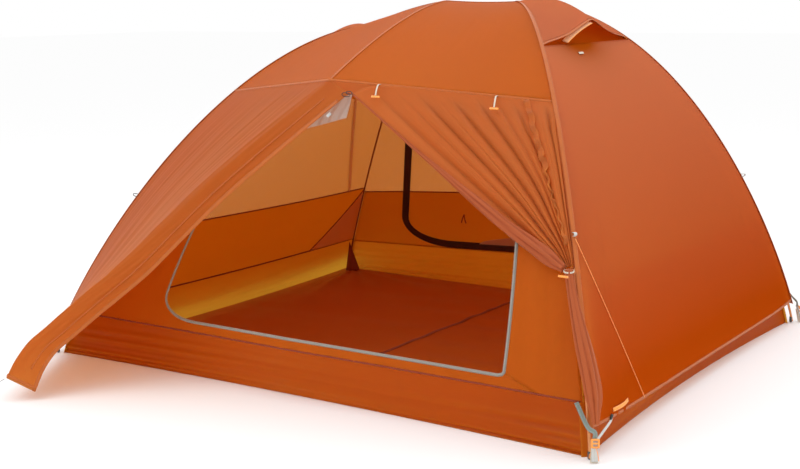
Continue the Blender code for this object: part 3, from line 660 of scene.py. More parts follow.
def cloth_look(name, colour, glow, glow_share, rough, sheen, pitch=0.005, crinkle=0.0012,
               stretch=(6.0, 1.0, 1.0), coat=0.0, alpha=1.0, low=1.0, folded=False,
               gloss=0.22):
    """Thin woven cloth: ripstop grid, fine crinkles, soft sheen, and light through it.

    low paints shade towards the ground and a pale pink highlight towards the top; folded
    paints shade, with less light through, where the fold attribute is high.
    """
    look, tree = new_look(name)
    place, u, v = cloth_places(tree)
    painted, clouds = varied(tree, colour, place, 2.6, 0.05)
    # painted shade and highlight by height: darker and deeper red low down, lighter and pinker
    # (painted sheen) towards the top
    if low < 1.0:
        height = wire(tree, "SeparateXYZ", {0: wire(tree, "TexCoord", out="Object")}, 2)
        share = wire(tree, "MapRange", {0: height, 1: 0.15, 2: 1.1})
        painted_shade_colour = (colour[0] * 0.86, colour[1] * low, 0.0, 1.0)
        high = (colour[0] * 1.12, colour[1] * 1.7, colour[2] * 12.0, 1.0)
        painted = mixed_colour(tree, 0.75, painted, mixed_colour(tree, share, painted_shade_colour, high))
    # painted shade in creases: darker colour and less light through where the fold attribute is
    # high
    if folded:
        fold = wire(tree, "Attribute", out="Fac", attribute_name="fold")
        painted_shade_colour = (colour[0] * 0.66, colour[1] * 0.42, colour[2] * 0.2, 1.0)
        painted = mixed_colour(tree, fold, painted, painted_shade_colour)
        glow_share = wire(tree, "MapRange", {0: fold, 3: glow_share, 4: glow_share * 0.45})
    mapped = wire(tree, "Mapping", {0: place, 3: stretch})
    folds = wire(tree, "TexNoise", {"Vector": mapped, "Scale": 4.5, "Detail": 5.0,
                                    "Roughness": 0.5, "Distortion": 0.35})
    bump = bumped(tree, folds, crinkle, 1.0)
    weave = bumped(tree, grid_lines(tree, u, v, pitch, 24.0), 0.00012, 0.5, Normal=bump)
    shiny = wire(tree, "MapRange", {0: clouds, 3: rough - 0.05, 4: rough + 0.06})
    shader = wire(tree, "BsdfPrincipled",
                  {"Base Color": painted, "Roughness": shiny, "Normal": weave,
                   "Sheen Weight": sheen, "Sheen Roughness": 0.4,
                   "Sheen Tint": (1.0, 0.62, 0.46, 1.0), "Specular IOR Level": gloss,
                   "Coat Weight": coat, "Coat Roughness": 0.35})
    light = wire(tree, "BsdfTranslucent", {"Color": (*glow, 1.0), "Normal": bump})
    shader = wire(tree, "MixShader", {0: glow_share, 1: shader, 2: light})
    if alpha < 1.0:
        clear = wire(tree, "BsdfTransparent")
        shader = wire(tree, "MixShader", {0: alpha, 1: clear, 2: shader})
    wire(tree, "OutputMaterial", {0: shader})
    return look


def ribbon_look(name, colour, rib=0.0016, rough=0.7, glow_share=0.0, stitches=True,
                stitch_colour=(0.9, 0.36, 0.16)):
    """Woven webbing or seam tape: cross ribs, and a row of stitches down each side."""
    look, tree = new_look(name)
    place, u, v = cloth_places(tree)
    painted = varied(tree, colour, place, 30.0, 0.08)[0]
    height = calculate(tree, "MULTIPLY", wave_of(tree, "SINE", v, 2 * math.pi / rib), 0.35)
    if stitches:
        dash = calculate(tree, "GREATER_THAN",
                         wave_of(tree, "SINE", v, 2 * math.pi / 0.0034), -0.35)
        row = calculate(tree, "GREATER_THAN",
                        wave_of(tree, "SINE", u, 2 * math.pi / 0.0085), 0.955)
        mark = calculate(tree, "MULTIPLY", dash, row)
        painted = mixed_colour(tree, mark, painted, (*stitch_colour, 1))
        height = calculate(tree, "ADD", height, mark)
    bump = bumped(tree, height, 0.0003, 0.6)
    shader = wire(tree, "BsdfPrincipled",
                  {"Base Color": painted, "Roughness": rough, "Normal": bump,
                   "Sheen Weight": 0.15, "Specular IOR Level": 0.3})
    if glow_share:
        light = wire(tree, "BsdfTranslucent", {"Color": (1.0, 0.56, 0.25, 1.0), "Normal": bump})
        shader = wire(tree, "MixShader", {0: glow_share, 1: shader, 2: light})
    wire(tree, "OutputMaterial", {0: shader})
    return look


def hard_look(name, colour, rough, metal=0.0, grain=40.0, depth=0.0002, coat=0.0,
              stretch=(1.0, 1.0, 1.0)):
    """Moulded plastic or anodised metal: fine grain, drifting tone, a little uneven gloss."""
    look, tree = new_look(name)
    place = wire(tree, "TexCoord", out="Object")
    painted, clouds = varied(tree, colour, place, grain, 0.08, stretch)
    fine = wire(tree, "TexNoise", {"Vector": place, "Scale": grain * 12, "Detail": 3.0})
    shiny = wire(tree, "MapRange", {0: clouds, 3: rough - 0.07, 4: rough + 0.08})
    wire(tree, "OutputMaterial", {0: wire(
        tree, "BsdfPrincipled", {"Base Color": painted, "Roughness": shiny, "Metallic": metal,
                                 "Normal": bumped(tree, fine, depth, 0.35),
                                 "Coat Weight": coat})})
    return look


def cord_look(name, colour, twist=0.003, strand=0.0025):
    """Braided cord: the higher of two sines that cross on the cloth coordinates."""
    look, tree = new_look(name)
    place, u, v = cloth_places(tree)
    painted = varied(tree, colour, place, 60.0, 0.12)[0]
    strands = [calculate(tree, "SINE", calculate(
        tree, "MULTIPLY_ADD", u, way * 2 * math.pi / strand,
        calculate(tree, "MULTIPLY", v, 2 * math.pi / twist))) for way in (1, -1)]
    bump = bumped(tree, calculate(tree, "MAXIMUM", *strands), 0.0002, 0.6)
    wire(tree, "OutputMaterial", {0: wire(
        tree, "BsdfPrincipled", {"Base Color": painted, "Roughness": 0.7, "Normal": bump,
                                 "Sheen Weight": 0.2})})
    return look


LOOKS = {}


def looks():
    """All materials, made once."""
    if LOOKS:
        return LOOKS
    s = settings()
    fly, glow, inner_glow = tuple(s.fly_colour), tuple(s.fly_glow), tuple(s.inner_glow)
    web, bright = tuple(s.webbing_colour), tuple(s.bright_colour)

    # copies of the fly colour for the door cloth, tinted darker, lighter or pinker as painted
    # shade and painted sheen
    def fly_tinted_for_light(red, green, blue):
        return fly[0] * red, fly[1] * green, fly[2] * blue

    drawn, hung = (7.0, 1.0, 1.0), (1.0, 5.0, 1.0)
    cloths = {
        "fly": ("fly_ripstop", fly, glow, 0.66, 0.42, 0.10, dict(crinkle=0.0022)),
        "fly_end": ("fly_end_ripstop", fly, glow, 0.66, 0.45, 0.0, dict(
            stretch=(3.0, 0.8, 1.0), crinkle=0.0010, low=0.46, gloss=0.0, folded=True)),
        # flap: darker and pinker than the fly, as painted shade and painted sheen
        "flap": ("flap_ripstop", fly_tinted_for_light(0.86, 0.90, 1.6), glow, 0.64, 0.42, 0.30,
                 dict(stretch=drawn, crinkle=0.0022)),
        # vent: fly colour darkened, with less light through, as painted shade under the hood
        "vent": ("vent_lining", (fly[0] * 0.80, fly[1] * 0.50, 0.003), glow, 0.30, 0.6, 0.0,
                 dict(crinkle=0.0015, gloss=0.0)),
        # roll: darker and pinker than the fly, as painted shade and painted sheen
        "roll": ("door_edge_ripstop", fly_tinted_for_light(0.76, 0.55, 1.7), glow, 0.17, 0.42, 0.28,
                 dict(stretch=drawn, crinkle=0.0030, folded=True)),
        # drape: lighter and pinker than the fly, as a painted highlight on its lobes
        "drape": ("door_ripstop", fly_tinted_for_light(1.0, 1.12, 3.0), glow, 0.64, 0.42, 0.24,
                  dict(stretch=drawn, crinkle=0.0025, folded=True)),
        "inner": ("inner_ripstop", tuple(s.inner_colour), inner_glow, 0.65, 0.50, 0.05,
                  dict(crinkle=0.0018, stretch=hung)),
        "tub": ("tub_coated", tuple(s.tub_colour), inner_glow, 0.66, 0.42, 0.02,
                dict(crinkle=0.0035, stretch=hung, coat=0.06)),
        "floor": ("floor_coated", tuple(s.floor_colour), inner_glow, 0.12, 0.46, 0.10,
                  dict(crinkle=0.0030, stretch=(1.3, 1.0, 1.0), coat=0.08)),
        "mesh": ("insect_mesh", tuple(s.mesh_colour), (0.9, 0.72, 0.55), 0.35, 0.8, 0.3,
                 dict(pitch=0.0015, crinkle=0.0010, alpha=0.30)),
        "gusset": ("gusset_mesh", (0.80, 0.50, 0.34), (1.0, 0.85, 0.7), 0.64, 0.7, 0.1,
                   dict(pitch=0.0015, crinkle=0.0010)),
        "stowed": ("stowed_mesh", (0.62, 0.36, 0.24), (0.95, 0.75, 0.6), 0.40, 0.7, 0.2,
                   dict(pitch=0.0015, crinkle=0.0020)),
        "pale": ("pale_patch", (0.66, 0.60, 0.55), (0.95, 0.85, 0.78), 0.45, 0.6, 0.3,
                 dict(crinkle=0.003)),
    }
    ribbons = {
        "seam": ("felled_seam", (0.56, 0.135, 0.018), (0.42, 0.10, 0.03),
                 dict(rib=0.0022, rough=0.5, glow_share=0.15)),
        "dark_seam": ("bound_seam", (0.24, 0.026, 0.003), (0.35, 0.07, 0.02),
                      dict(rib=0.0022, rough=0.6)),
        "webbing": ("webbing", web, (0.45, 0.46, 0.44), {}),
        "green_web": ("grey_green_webbing", (0.22, 0.27, 0.24), (0.5, 0.52, 0.5), {}),
        "bright_web": ("bright_webbing", bright, (1.0, 0.6, 0.3), {}),
        "white_web": ("white_loop", (0.66, 0.58, 0.46), (0.7, 0.68, 0.64), {}),
        "grey_zip": ("grey_zip_tape", (0.30, 0.265, 0.21), (0.5, 0.42, 0.36),
                     dict(rib=0.0012, rough=0.6)),
        "coil": ("zip_coil", (0.30, 0.29, 0.27), (0.9, 0.36, 0.16),
                 dict(rib=0.0014, rough=0.35, stitches=False)),
        "dark_zip": ("dark_zip_flap", (0.045, 0.010, 0.005), (0.11, 0.03, 0.015),
                     dict(rib=0.003, rough=0.6)),
        "strut": ("strut_cover", (0.72, 0.34, 0.17), (0.85, 0.5, 0.3),
                  dict(rib=0.002, rough=0.6)),
    }
    hards = {
        "pole": ("anodised_pole", (0.72, 0.30, 0.12), 0.32, 0.85, 25.0,
                 dict(stretch=(1.0, 1.0, 0.2))),
        "hub": ("hub_plastic", (0.30, 0.30, 0.29), 0.45, 0.0, 60.0, {}),
        "buckle": ("bright_plastic", bright, 0.38, 0.0, 60.0, dict(coat=0.15)),
        "black": ("black_plastic", (0.03, 0.03, 0.03), 0.42, 0.0, 60.0, {}),
        "metal": ("brushed_metal", (0.60, 0.60, 0.58), 0.30, 1.0, 90.0,
                  dict(stretch=(1.0, 1.0, 0.1))),
        "dark_metal": ("dark_metal", (0.12, 0.12, 0.12), 0.35, 1.0, 90.0, {}),
        "peg": ("peg_alloy", (0.62, 0.63, 0.65), 0.34, 1.0, 40.0, dict(depth=0.0004)),
    }
    for key, (*values, more) in cloths.items():
        LOOKS[key] = cloth_look(*values, **more)
    for key, (name, colour, stitch, more) in ribbons.items():
        LOOKS[key] = ribbon_look(name, colour, stitch_colour=stitch, **more)
    for key, (*values, more) in hards.items():
        LOOKS[key] = hard_look(*values, **more)
    LOOKS["guy"] = cord_look("guyline_braid", (1.0, 0.34, 0.08))
    LOOKS["grey_cord"] = cord_look("grey_cord_braid", (0.34, 0.35, 0.35))
    return LOOKS


# ---- camera --------------------------------------------------------------------------------
CAMERA_PLACE = (2.580, -4.083, 1.275)
CAMERA_YAW = 0.591
CAMERA_PITCH = 0.179
CAMERA_ROLL = -0.013
CAMERA_LENS = 58.32
CAMERA_SENSOR = 36.0


def placed(right, up, back, place):
    """Matrix whose columns are three axes and a place."""
    rows = [[right[i], up[i], back[i], place[i]] for i in range(3)]
    return Matrix(rows + [[0.0, 0.0, 0.0, 1.0]])


class TENT_OT_camera(bpy.types.Operator):
    """Put up the camera at the front right corner, a little above the ridge's height."""
    bl_idname = "tent.camera"
    bl_label = "Camera"

    def execute(self, context):
        flat, tilt, roll = CAMERA_YAW, CAMERA_PITCH, CAMERA_ROLL
        view = vec(-math.sin(flat) * math.cos(tilt), math.cos(flat) * math.cos(tilt),
                   -math.sin(tilt))
        right = vec(math.cos(flat), math.sin(flat), 0.0)
        up = np.cross(right, view)
        lens = bpy.data.cameras.new("tent_camera")
        lens.lens = CAMERA_LENS
        lens.sensor_width = CAMERA_SENSOR
        lens.sensor_fit = "HORIZONTAL"
        lens.clip_end = 200.0
        camera = bpy.data.objects.new("tent_camera", lens)
        context.scene.collection.objects.link(camera)
        camera.matrix_world = placed(right * math.cos(roll) + up * math.sin(roll),
                                     up * math.cos(roll) - right * math.sin(roll),
                                     -view, CAMERA_PLACE)
        context.scene.camera = camera
        return {"FINISHED"}


# ---- cords ---------------------------------------------------------------------------------
def guyline_route(q):
    """Taut line from its loop on the front right leg to the end panel's hem."""
    start = leg_line(1, -1, GUY_LOOP_AT) + vec(0.009, -0.008, 0.0)
    end = end_sheet(1, np.array(GUY_HEM_SHARE), np.array(HEM_AT), True)
    end = end + vec(0.013, 0.0, 0.002)
    bow = vec(GUY_BOW, -GUY_BOW, 0.0) * (4 * q * (1 - q))[:, None]
    return straight(start, end, q) + bow


class TENT_OT_cords(bpy.types.Operator):
    """String the taut line and the pegged corner's cord: round profiles carried along routes."""
    bl_idname = "tent.cords"
    bl_label = "Cords"

    def execute(self, context):
        path = guyline_route(np.linspace(0, 1, 40))
        line = sweep("guyline_cord", path, (1.0, 0.6, 0.2), (0.0012, 0.0012, 10), "guy",
                     replaced=["guyline"])
        path = through(FLAP_CORD, np.linspace(0, 1, 30))
        stake = sweep("peg_cord", path, (0.0, 0.0, 1.0), (0.0012, 0.0012, 10), "grey_cord",
                      "vestibule_flap_front_left", ["flap_cord"])
        return {"FINISHED"}


# ---- the fly -------------------------------------------------------------------------------
class TENT_OT_roof(bpy.types.Operator):
    """Stretch the fly's roof: two bays a side between ridge, legs, brow and roof seam, each
    sagging by a product of sines, with faint streaks that run down from the poles."""
    bl_idname = "tent.roof"
    bl_label = "Fly roof"

    def execute(self, context):
        for side in (-1, 1):
            node = "fly_roof_" + SIDE_NAME[side]
            s, t = grid(121, 45)
            hold = np.abs(np.sin(2 * math.pi * s)) * np.sin(math.pi * t)
            fine = streaks(s * 2.0, t, 11 + side, (7, 11, 17, 23), slant=0.25) * 0.0016
            points = raised(roof_sheet(side, s, t), -0.012 * hold + fine * hold)
            cloth(node + "_cloth", points, "fly", "fly_cloth", [node])
        return {"FINISHED"}


def hem_share(s):
    """Hem of an end panel as a share of the leg: lowest in the middle."""
    width = 2 * s - 1
    return HEM_AT + 0.013 * (1 - width ** 2) - 0.010 * width ** 8


def hood_peak(end):
    """Middle of a vent hood's fold line, and the hood's propped peak."""
    fold = end_sheet(end, np.array(0.5), np.array(HOOD_FOLD_AT), True)
    return fold, fold + vec(end * HOOD_REACH, 0, HOOD_RISE[end])


def hood_edge(end, s):
    """Free edge of the vent hood: from one leg out to its peak and back to the other leg."""
    peak = hood_peak(end)[1]
    front = leg_line(end, -1, HOOD_FEET_AT[end])
    back = leg_line(end, 1, HOOD_FEET_AT[end])
    edge = two_part(lambda q: straight(front, peak, q), lambda q: straight(peak, back, q),
                    0.5, s)
    edge[..., 2] -= 0.010 * np.sin(2 * math.pi * s) ** 2
    return edge


class TENT_OT_ends(bpy.types.Operator):
    """Stretch the two ends of the fly: the hood from hub to propped peak, and the panel from
    sill to hem with its creases near the legs and pulls at the hem."""
    bl_idname = "tent.ends"
    bl_label = "Fly ends and vents"

    def execute(self, context):
        for end in (-1, 1):
            name = END_NAME[end]
            self.hood(end, name)
            s, down = grid(97, 121)
            t = SILL_AT - 0.004 + (hem_share(s) - SILL_AT + 0.004) * down
            width = 2 * s - 1
            flat = -0.010 * (1 - width ** 2) ** 2 * np.sin(math.pi * down)
            crease = sum(np.exp(-((s - spot + lean * down) / wide) ** 2) * strength
                         for spot, lean, wide, strength in (
                             (0.115, -0.02, 0.008, 0.8), (0.075, -0.03, 0.007, 0.5),
                             (0.90, 0.02, 0.010, 0.5)))
            crease *= ease((down - 0.28) / 0.3) * 0.0055
            pulls = streaks(s * 1.6, down, 31 + end, (5, 9, 14), slant=0.1)
            pulls *= 0.0030 * ease((down - 0.75) / 0.25) * (1 - width ** 4)
            points = raised(end_sheet(end, s, t, True), flat + crease + pulls)
            panel = cloth("fly_end_" + name + "_cloth", points, "fly_end", "fly_cloth",
                          ["fly_end_" + name])
            # a soft patch of painted shade on the panel just below the sill, under the hood
            paint_fold_shade(panel, 1.2 * np.exp(-((s - 0.40) / 0.26) ** 2 - (down / 0.075) ** 1.5))
        return {"FINISHED"}

    def hood(self, end, name):
        """Hood raised by a product of sines, its bound edge, and under it a sheet darkened as
        painted shade.
        """
        s, t = grid(81, 33)
        hub = leg_line(end, 1, 0.0)
        feet = HOOD_FEET_AT[end]
        points = four_edges(lambda q: straight(hub, hub, q), leg_part(end, 1, 0, feet),
                            lambda q: hood_edge(end, q), leg_part(end, -1, 0, feet), s, t)
        points = raised(points, np.sin(math.pi * s) * np.sin(math.pi * t) * 0.004)
        fold, peak = hood_peak(end)
        along = vec(end, 0.0, 1.0)
        low = max(float(fold @ along), float(leg_line(end, 1, feet) @ along)) + 0.001
        start = peak + along * (low - float(peak @ along)) / 2
        node = "vent_hood_" + name
        bend = (node, start, peak)
        cloth(node + "_cloth", points, "fly_end", "fly_cloth", ["fly_cap_" + name, node],
              bend=bend)
        # darker sheet under the hood, standing in for the hood's shade: painted shade, with less
        # light through
        s, t = grid(61, 21, t_range=(HOOD_FOLD_AT - 0.05, SILL_AT + 0.004))
        depth = 0.005 + 0.014 * np.sqrt(np.sin(math.pi * s))
        points = end_sheet(end, s, t, True) - depth[..., None] * vec(end, 0.0, 0.7)
        cloth("vent_lining_" + name, points, "vent", "fly_cloth")
        rim = hood_edge(end, np.linspace(0.0, 1.0, 60)) + vec(0.0, 0.0, -0.0006)
        sweep(node + "_binding", rim, (end * 0.4, 0.0, 1.0), (0.0045, 0.0011, 10, 4), "seam",
              bend=bend)


def hinge_bend(end, side):
    """Body of a door half, and two points across the fold line."""
    top, corner = side_of(ZIP_TOP, side), leg_line(end, side, HEM_AT)
    line = unit(corner - top)
    out = (FLAP_TIP if side < 0 else FLAP_BACK_TIP) - corner
    out = unit(out - line * np.dot(out, line))
    body = "vestibule_flap_" + SIDE_NAME[side] + "_" + END_NAME[end]
    return body, corner - out * 0.01, corner + out * 0.07


class TENT_OT_doors(bpy.types.Operator):
    """Hang the door halves: each a sheet between leg, seam, zip edge and hem, with tension
    streaks that run from the zip's top to the pegged corner."""
    bl_idname = "tent.doors"
    bl_label = "Door halves"

    def execute(self, context):
        for name, end, side in DOOR_HALVES:
            s, t = grid(105, 141)
            edge = np.clip(np.minimum(s, 1 - s) / 0.06, 0, 1)
            hold = edge * np.sin(math.pi * np.clip(t, 0, 1)) ** 0.6
            strong = 1.0 if side < 0 else 0.6
            lines = streaks(s, t, 41 + end + 3 * side, (4, 7, 11, 16, 23, 31), slant=0.12,
                            bend=0.15)
            fan = streaks(s + 0.4 * t, t, 57 + end, (3, 5, 8), slant=-0.5)
            near = 0.35 + 0.65 * s ** 2
            height = hold * (0.0085 * lines * near + 0.003 * fan) * strong
            height = height - 0.010 * np.sin(math.pi * s) * np.sin(math.pi * t)
            bend = hinge_bend(end, side)
            cloth("door_" + name + "_cloth", raised(door_half(end, side, s, t), height),
                  "flap" if side < 0 else "fly", "fly_cloth",
                  ["fly_beside_door_" + name, bend[0]], bend=bend)
        return {"FINISHED"}


class TENT_OT_drape(bpy.types.Operator):
    """Draw the front door up to its tie: pleats are broad lobes with sharp grooves between,
    deepening towards the tie; below it the cloth hangs as a pleated bundle."""
    bl_idname = "tent.drape"
    bl_label = "Tied-back door"

    def execute(self, context):
        s, t = grid(181, 121)
        across = s + 0.012 * np.sin(5 * t + 3 * s) * (1 - t)
        rise = ease(t / 0.16) * (1 - 0.45 * ease((t - 0.65) / 0.35))
        folded = np.zeros_like(s)
        for spot, strength, width in GROOVES:
            folded = np.maximum(folded, strength * np.exp(-np.abs(across - spot) / width))
        minor = streaks(across * 2.2, t, 23, (7, 12, 19), slant=0.05)
        height = settings().fold_depth * (0.35 - folded) * rise \
            + 0.0016 * minor * ease(t / 0.3)
        height += 0.014 * np.sin(math.pi * t) * ease(s / 0.2)
        height *= ease(t / 0.06)
        height *= 1 - 0.7 * ease((s - 0.97) / 0.03)
        points = raised(drape_base(s, t), height)
        drape = cloth("door_drape_cloth", points, "drape", "fly_cloth", ["door_drape"])
        # painted shade in the grooves between the pleats, strongest near the seam
        paint_fold_shade(drape, 1.3 * (folded - 0.22) * ease(t / 0.10) * (1 - 0.3 * t))
        self.cover()
        self.edge_roll()
        self.bundle()
        self.ruffle(points)
        return {"FINISHED"}

    def cover(self):
        """Short rain cover below each roof seam, over the top of the door's zip."""
        for name, side in (("zip_top_cover", -1), ("zip_top_cover_back", 1)):
            s, t = grid(61, 13)
            fall = vec(0.0, side * 0.016, -0.036) * (np.sin(math.pi * s) ** 0.6 * t)[..., None]
            points = seam_line(side, 0.455 + 0.195 * s) + vec(0.0, side * 0.0016, 0.0) + fall
            points[..., 1] += side * 0.0015 * np.sin(23 * s) * t
            cloth(name, points, "drape", "fly_cloth")

    def edge_roll(self):
        """Rolled zip edge: an oval whose radius is waved by two sines that turn as it runs."""
        q = np.linspace(0, 1, 120)
        path = through(DRAPE_EDGE, q) + vec(0.0, -0.004, 0.0) * ease(q / 0.2)[:, None]
        angle = np.linspace(0, 2 * math.pi, 28, endpoint=False)
        size = 0.0025 + 0.0175 * ease((q - 0.05) / 0.60) - 0.0065 * ease((q - 0.8) / 0.2)
        folds = 1 + 0.22 * np.sin(5 * angle[None] + 7 * q[:, None]) \
            + 0.10 * np.sin(9 * angle[None] - 11 * q[:, None])
        roll = sweep("door_drape_roll", path, (0.0, 0.0, 1.0),
                     gathered(size, folds, angle, 0.75, 1.0), "roll")
        # painted shade where the roll's profile dips in
        paint_fold_shade(roll, 2.8 * (1.0 - folds))

    def bundle(self):
        """Cloth below the tie: an oval with seven pleats, each the 0.7th power of a sine."""
        q = np.linspace(0, 1, 130)
        path = leg_line(1, -1, TIE_AT - 0.004 + (0.856 - TIE_AT) * q)
        path = path + vec(-0.014, -0.028, 0.0) \
            + vec(0.042, 0.006, 0.0) * ease(q / 0.85)[:, None]
        angle = np.linspace(0, 2 * math.pi, 72, endpoint=False)
        size = 0.0115 + 0.0115 * ease(q / 0.55) - 0.0135 * ease((q - 0.72) / 0.28)
        turn = angle[None] + 0.5 * q[:, None]
        pleats = 0.74 + 0.36 * np.abs(np.sin(3.5 * turn)) ** 0.7 \
            + 0.07 * np.sin(11 * angle[None] + 9 * q[:, None])
        bundle = sweep("door_bundle_cloth", path, (0.5, -0.8, 0.0),
                       gathered(size, pleats, angle, 1.0, 0.85), "roll",
                       replaced=["door_bundle"])
        # painted shade in the hollows between the pleats
        paint_fold_shade(bundle, 2.2 * (0.98 - pleats))

    def ruffle(self, points):
        """Gathered zip tape that lies on the drape near the leg, waving from side to side."""
        rows = np.linspace(2, 104, 90).astype(int)
        down = np.linspace(0, 1, len(rows))
        share = 0.858 - 0.11 * down ** 1.6 + 0.008 * np.sin(58 * down) * (0.4 + 0.6 * down)
        column = (share * (points.shape[0] - 1)).astype(int)
        path = points[column, rows]
        path[1:-1] = (path[:-2] + path[1:-1] * 2 + path[2:]) / 4
        facing = outward_normals(points)[column, rows]
        path = path + facing * (0.006 + 0.003 * np.sin(67 * down))[:, None]
        tape = sweep("door_drape_zip", path, facing, (0.0090, 0.0018, 12, 3), "drape")
        # bands of painted shade along the tape that follow its waves
        paint_fold_shade(tape, np.repeat(0.45 + 0.35 * np.sin(58 * down + 1.5), 12))


# ---- the inner tent ------------------------------------------------------------------------
def door_outline(door, count):
    """Rounded outline in shares of the wall, corner by corner from the lower right."""
    upper_left, upper_right, lower_right, lower_left = door["corners"]
    left, right, top, bottom = door["left"], door["right"], door["top"], door["bottom"]
    corners = [(right - lower_right, bottom - lower_right, lower_right, 0.0),
               (left + lower_left, bottom - lower_left, lower_left, 0.5),
               (left + upper_left, top + upper_left, upper_left, 1.0),
               (right - upper_right, top + upper_right, upper_right, 1.5)]
    angle = math.pi * 0.5 * np.linspace(0, 1, 12)
    rows = [np.stack([cs + radius * np.cos(angle + math.pi * start),
                      ct + radius * np.sin(angle + math.pi * start)], axis=-1)
            for cs, ct, radius, start in corners]
    outline = np.concatenate(rows + [rows[0][:1]])
    across = (outline[:, 0] - left) / (right - left)
    outline[:, 0] += door.get("lean", 0.0) * (bottom - outline[:, 1]) * across
    far = running(outline)
    wanted = np.linspace(0, far[-1], count, endpoint=False)
    return np.stack([np.interp(wanted, far, outline[:, axis]) for axis in (0, 1)], axis=1)


def on_wall(side, shares_s, shares_t, height):
    """Points on a wall sheet and its outward normals there, lifted by a height."""
    small = 1e-3
    here = wall_sheet(side, shares_s, shares_t)
    normal = np.cross(wall_sheet(side, shares_s + small, shares_t) - here,
                      wall_sheet(side, shares_s, shares_t + small) - here)
    normal /= np.linalg.norm(normal, axis=-1, keepdims=True)
    if np.sum(normal[..., 1]) * side < 0:
        normal = -normal
    return here + normal * height, normal


def wall_round_door(name, side, door, bottom, finish, slot, replaced, ripple):
    """Wall with a rounded door hole, as rings that grow from the hole to the wall's edges."""
    hole = door_outline(door, 240)
    centre = (hole.min(axis=0) + hole.max(axis=0)) / 2
    ray = hole - centre
    low, high = vec(0.002, 0.004), vec(0.998, bottom)
    with np.errstate(divide="ignore", invalid="ignore"):
        reach = np.where(ray > 0, (high - centre) / ray, (low - centre) / ray)
    reach = np.min(np.where(np.abs(ray) < 1e-9, np.inf, reach), axis=1)
    rim = centre + ray * reach[:, None]
    for corner in ((low[0], low[1]), (low[0], high[1]), (high[0], low[1]), (high[0], high[1])):
        rim[np.argmin(np.linalg.norm(rim - np.array(corner), axis=1))] = corner
    share = np.linspace(0, 1, 22)[None, :, None]
    rings = hole[:, None] + (rim - hole)[:, None] * share
    rings = np.concatenate([rings, rings[:1]])
    points, normal = on_wall(side, rings[..., 0], rings[..., 1], 0.0)
    points = points + normal * ripple(rings[..., 0], rings[..., 1])[..., None]
    return cloth(name, points, finish, slot, replaced,
                 spread=wall_sheet(side, *grid(40, 20, (0.0, 1.0), (0.0, bottom))))


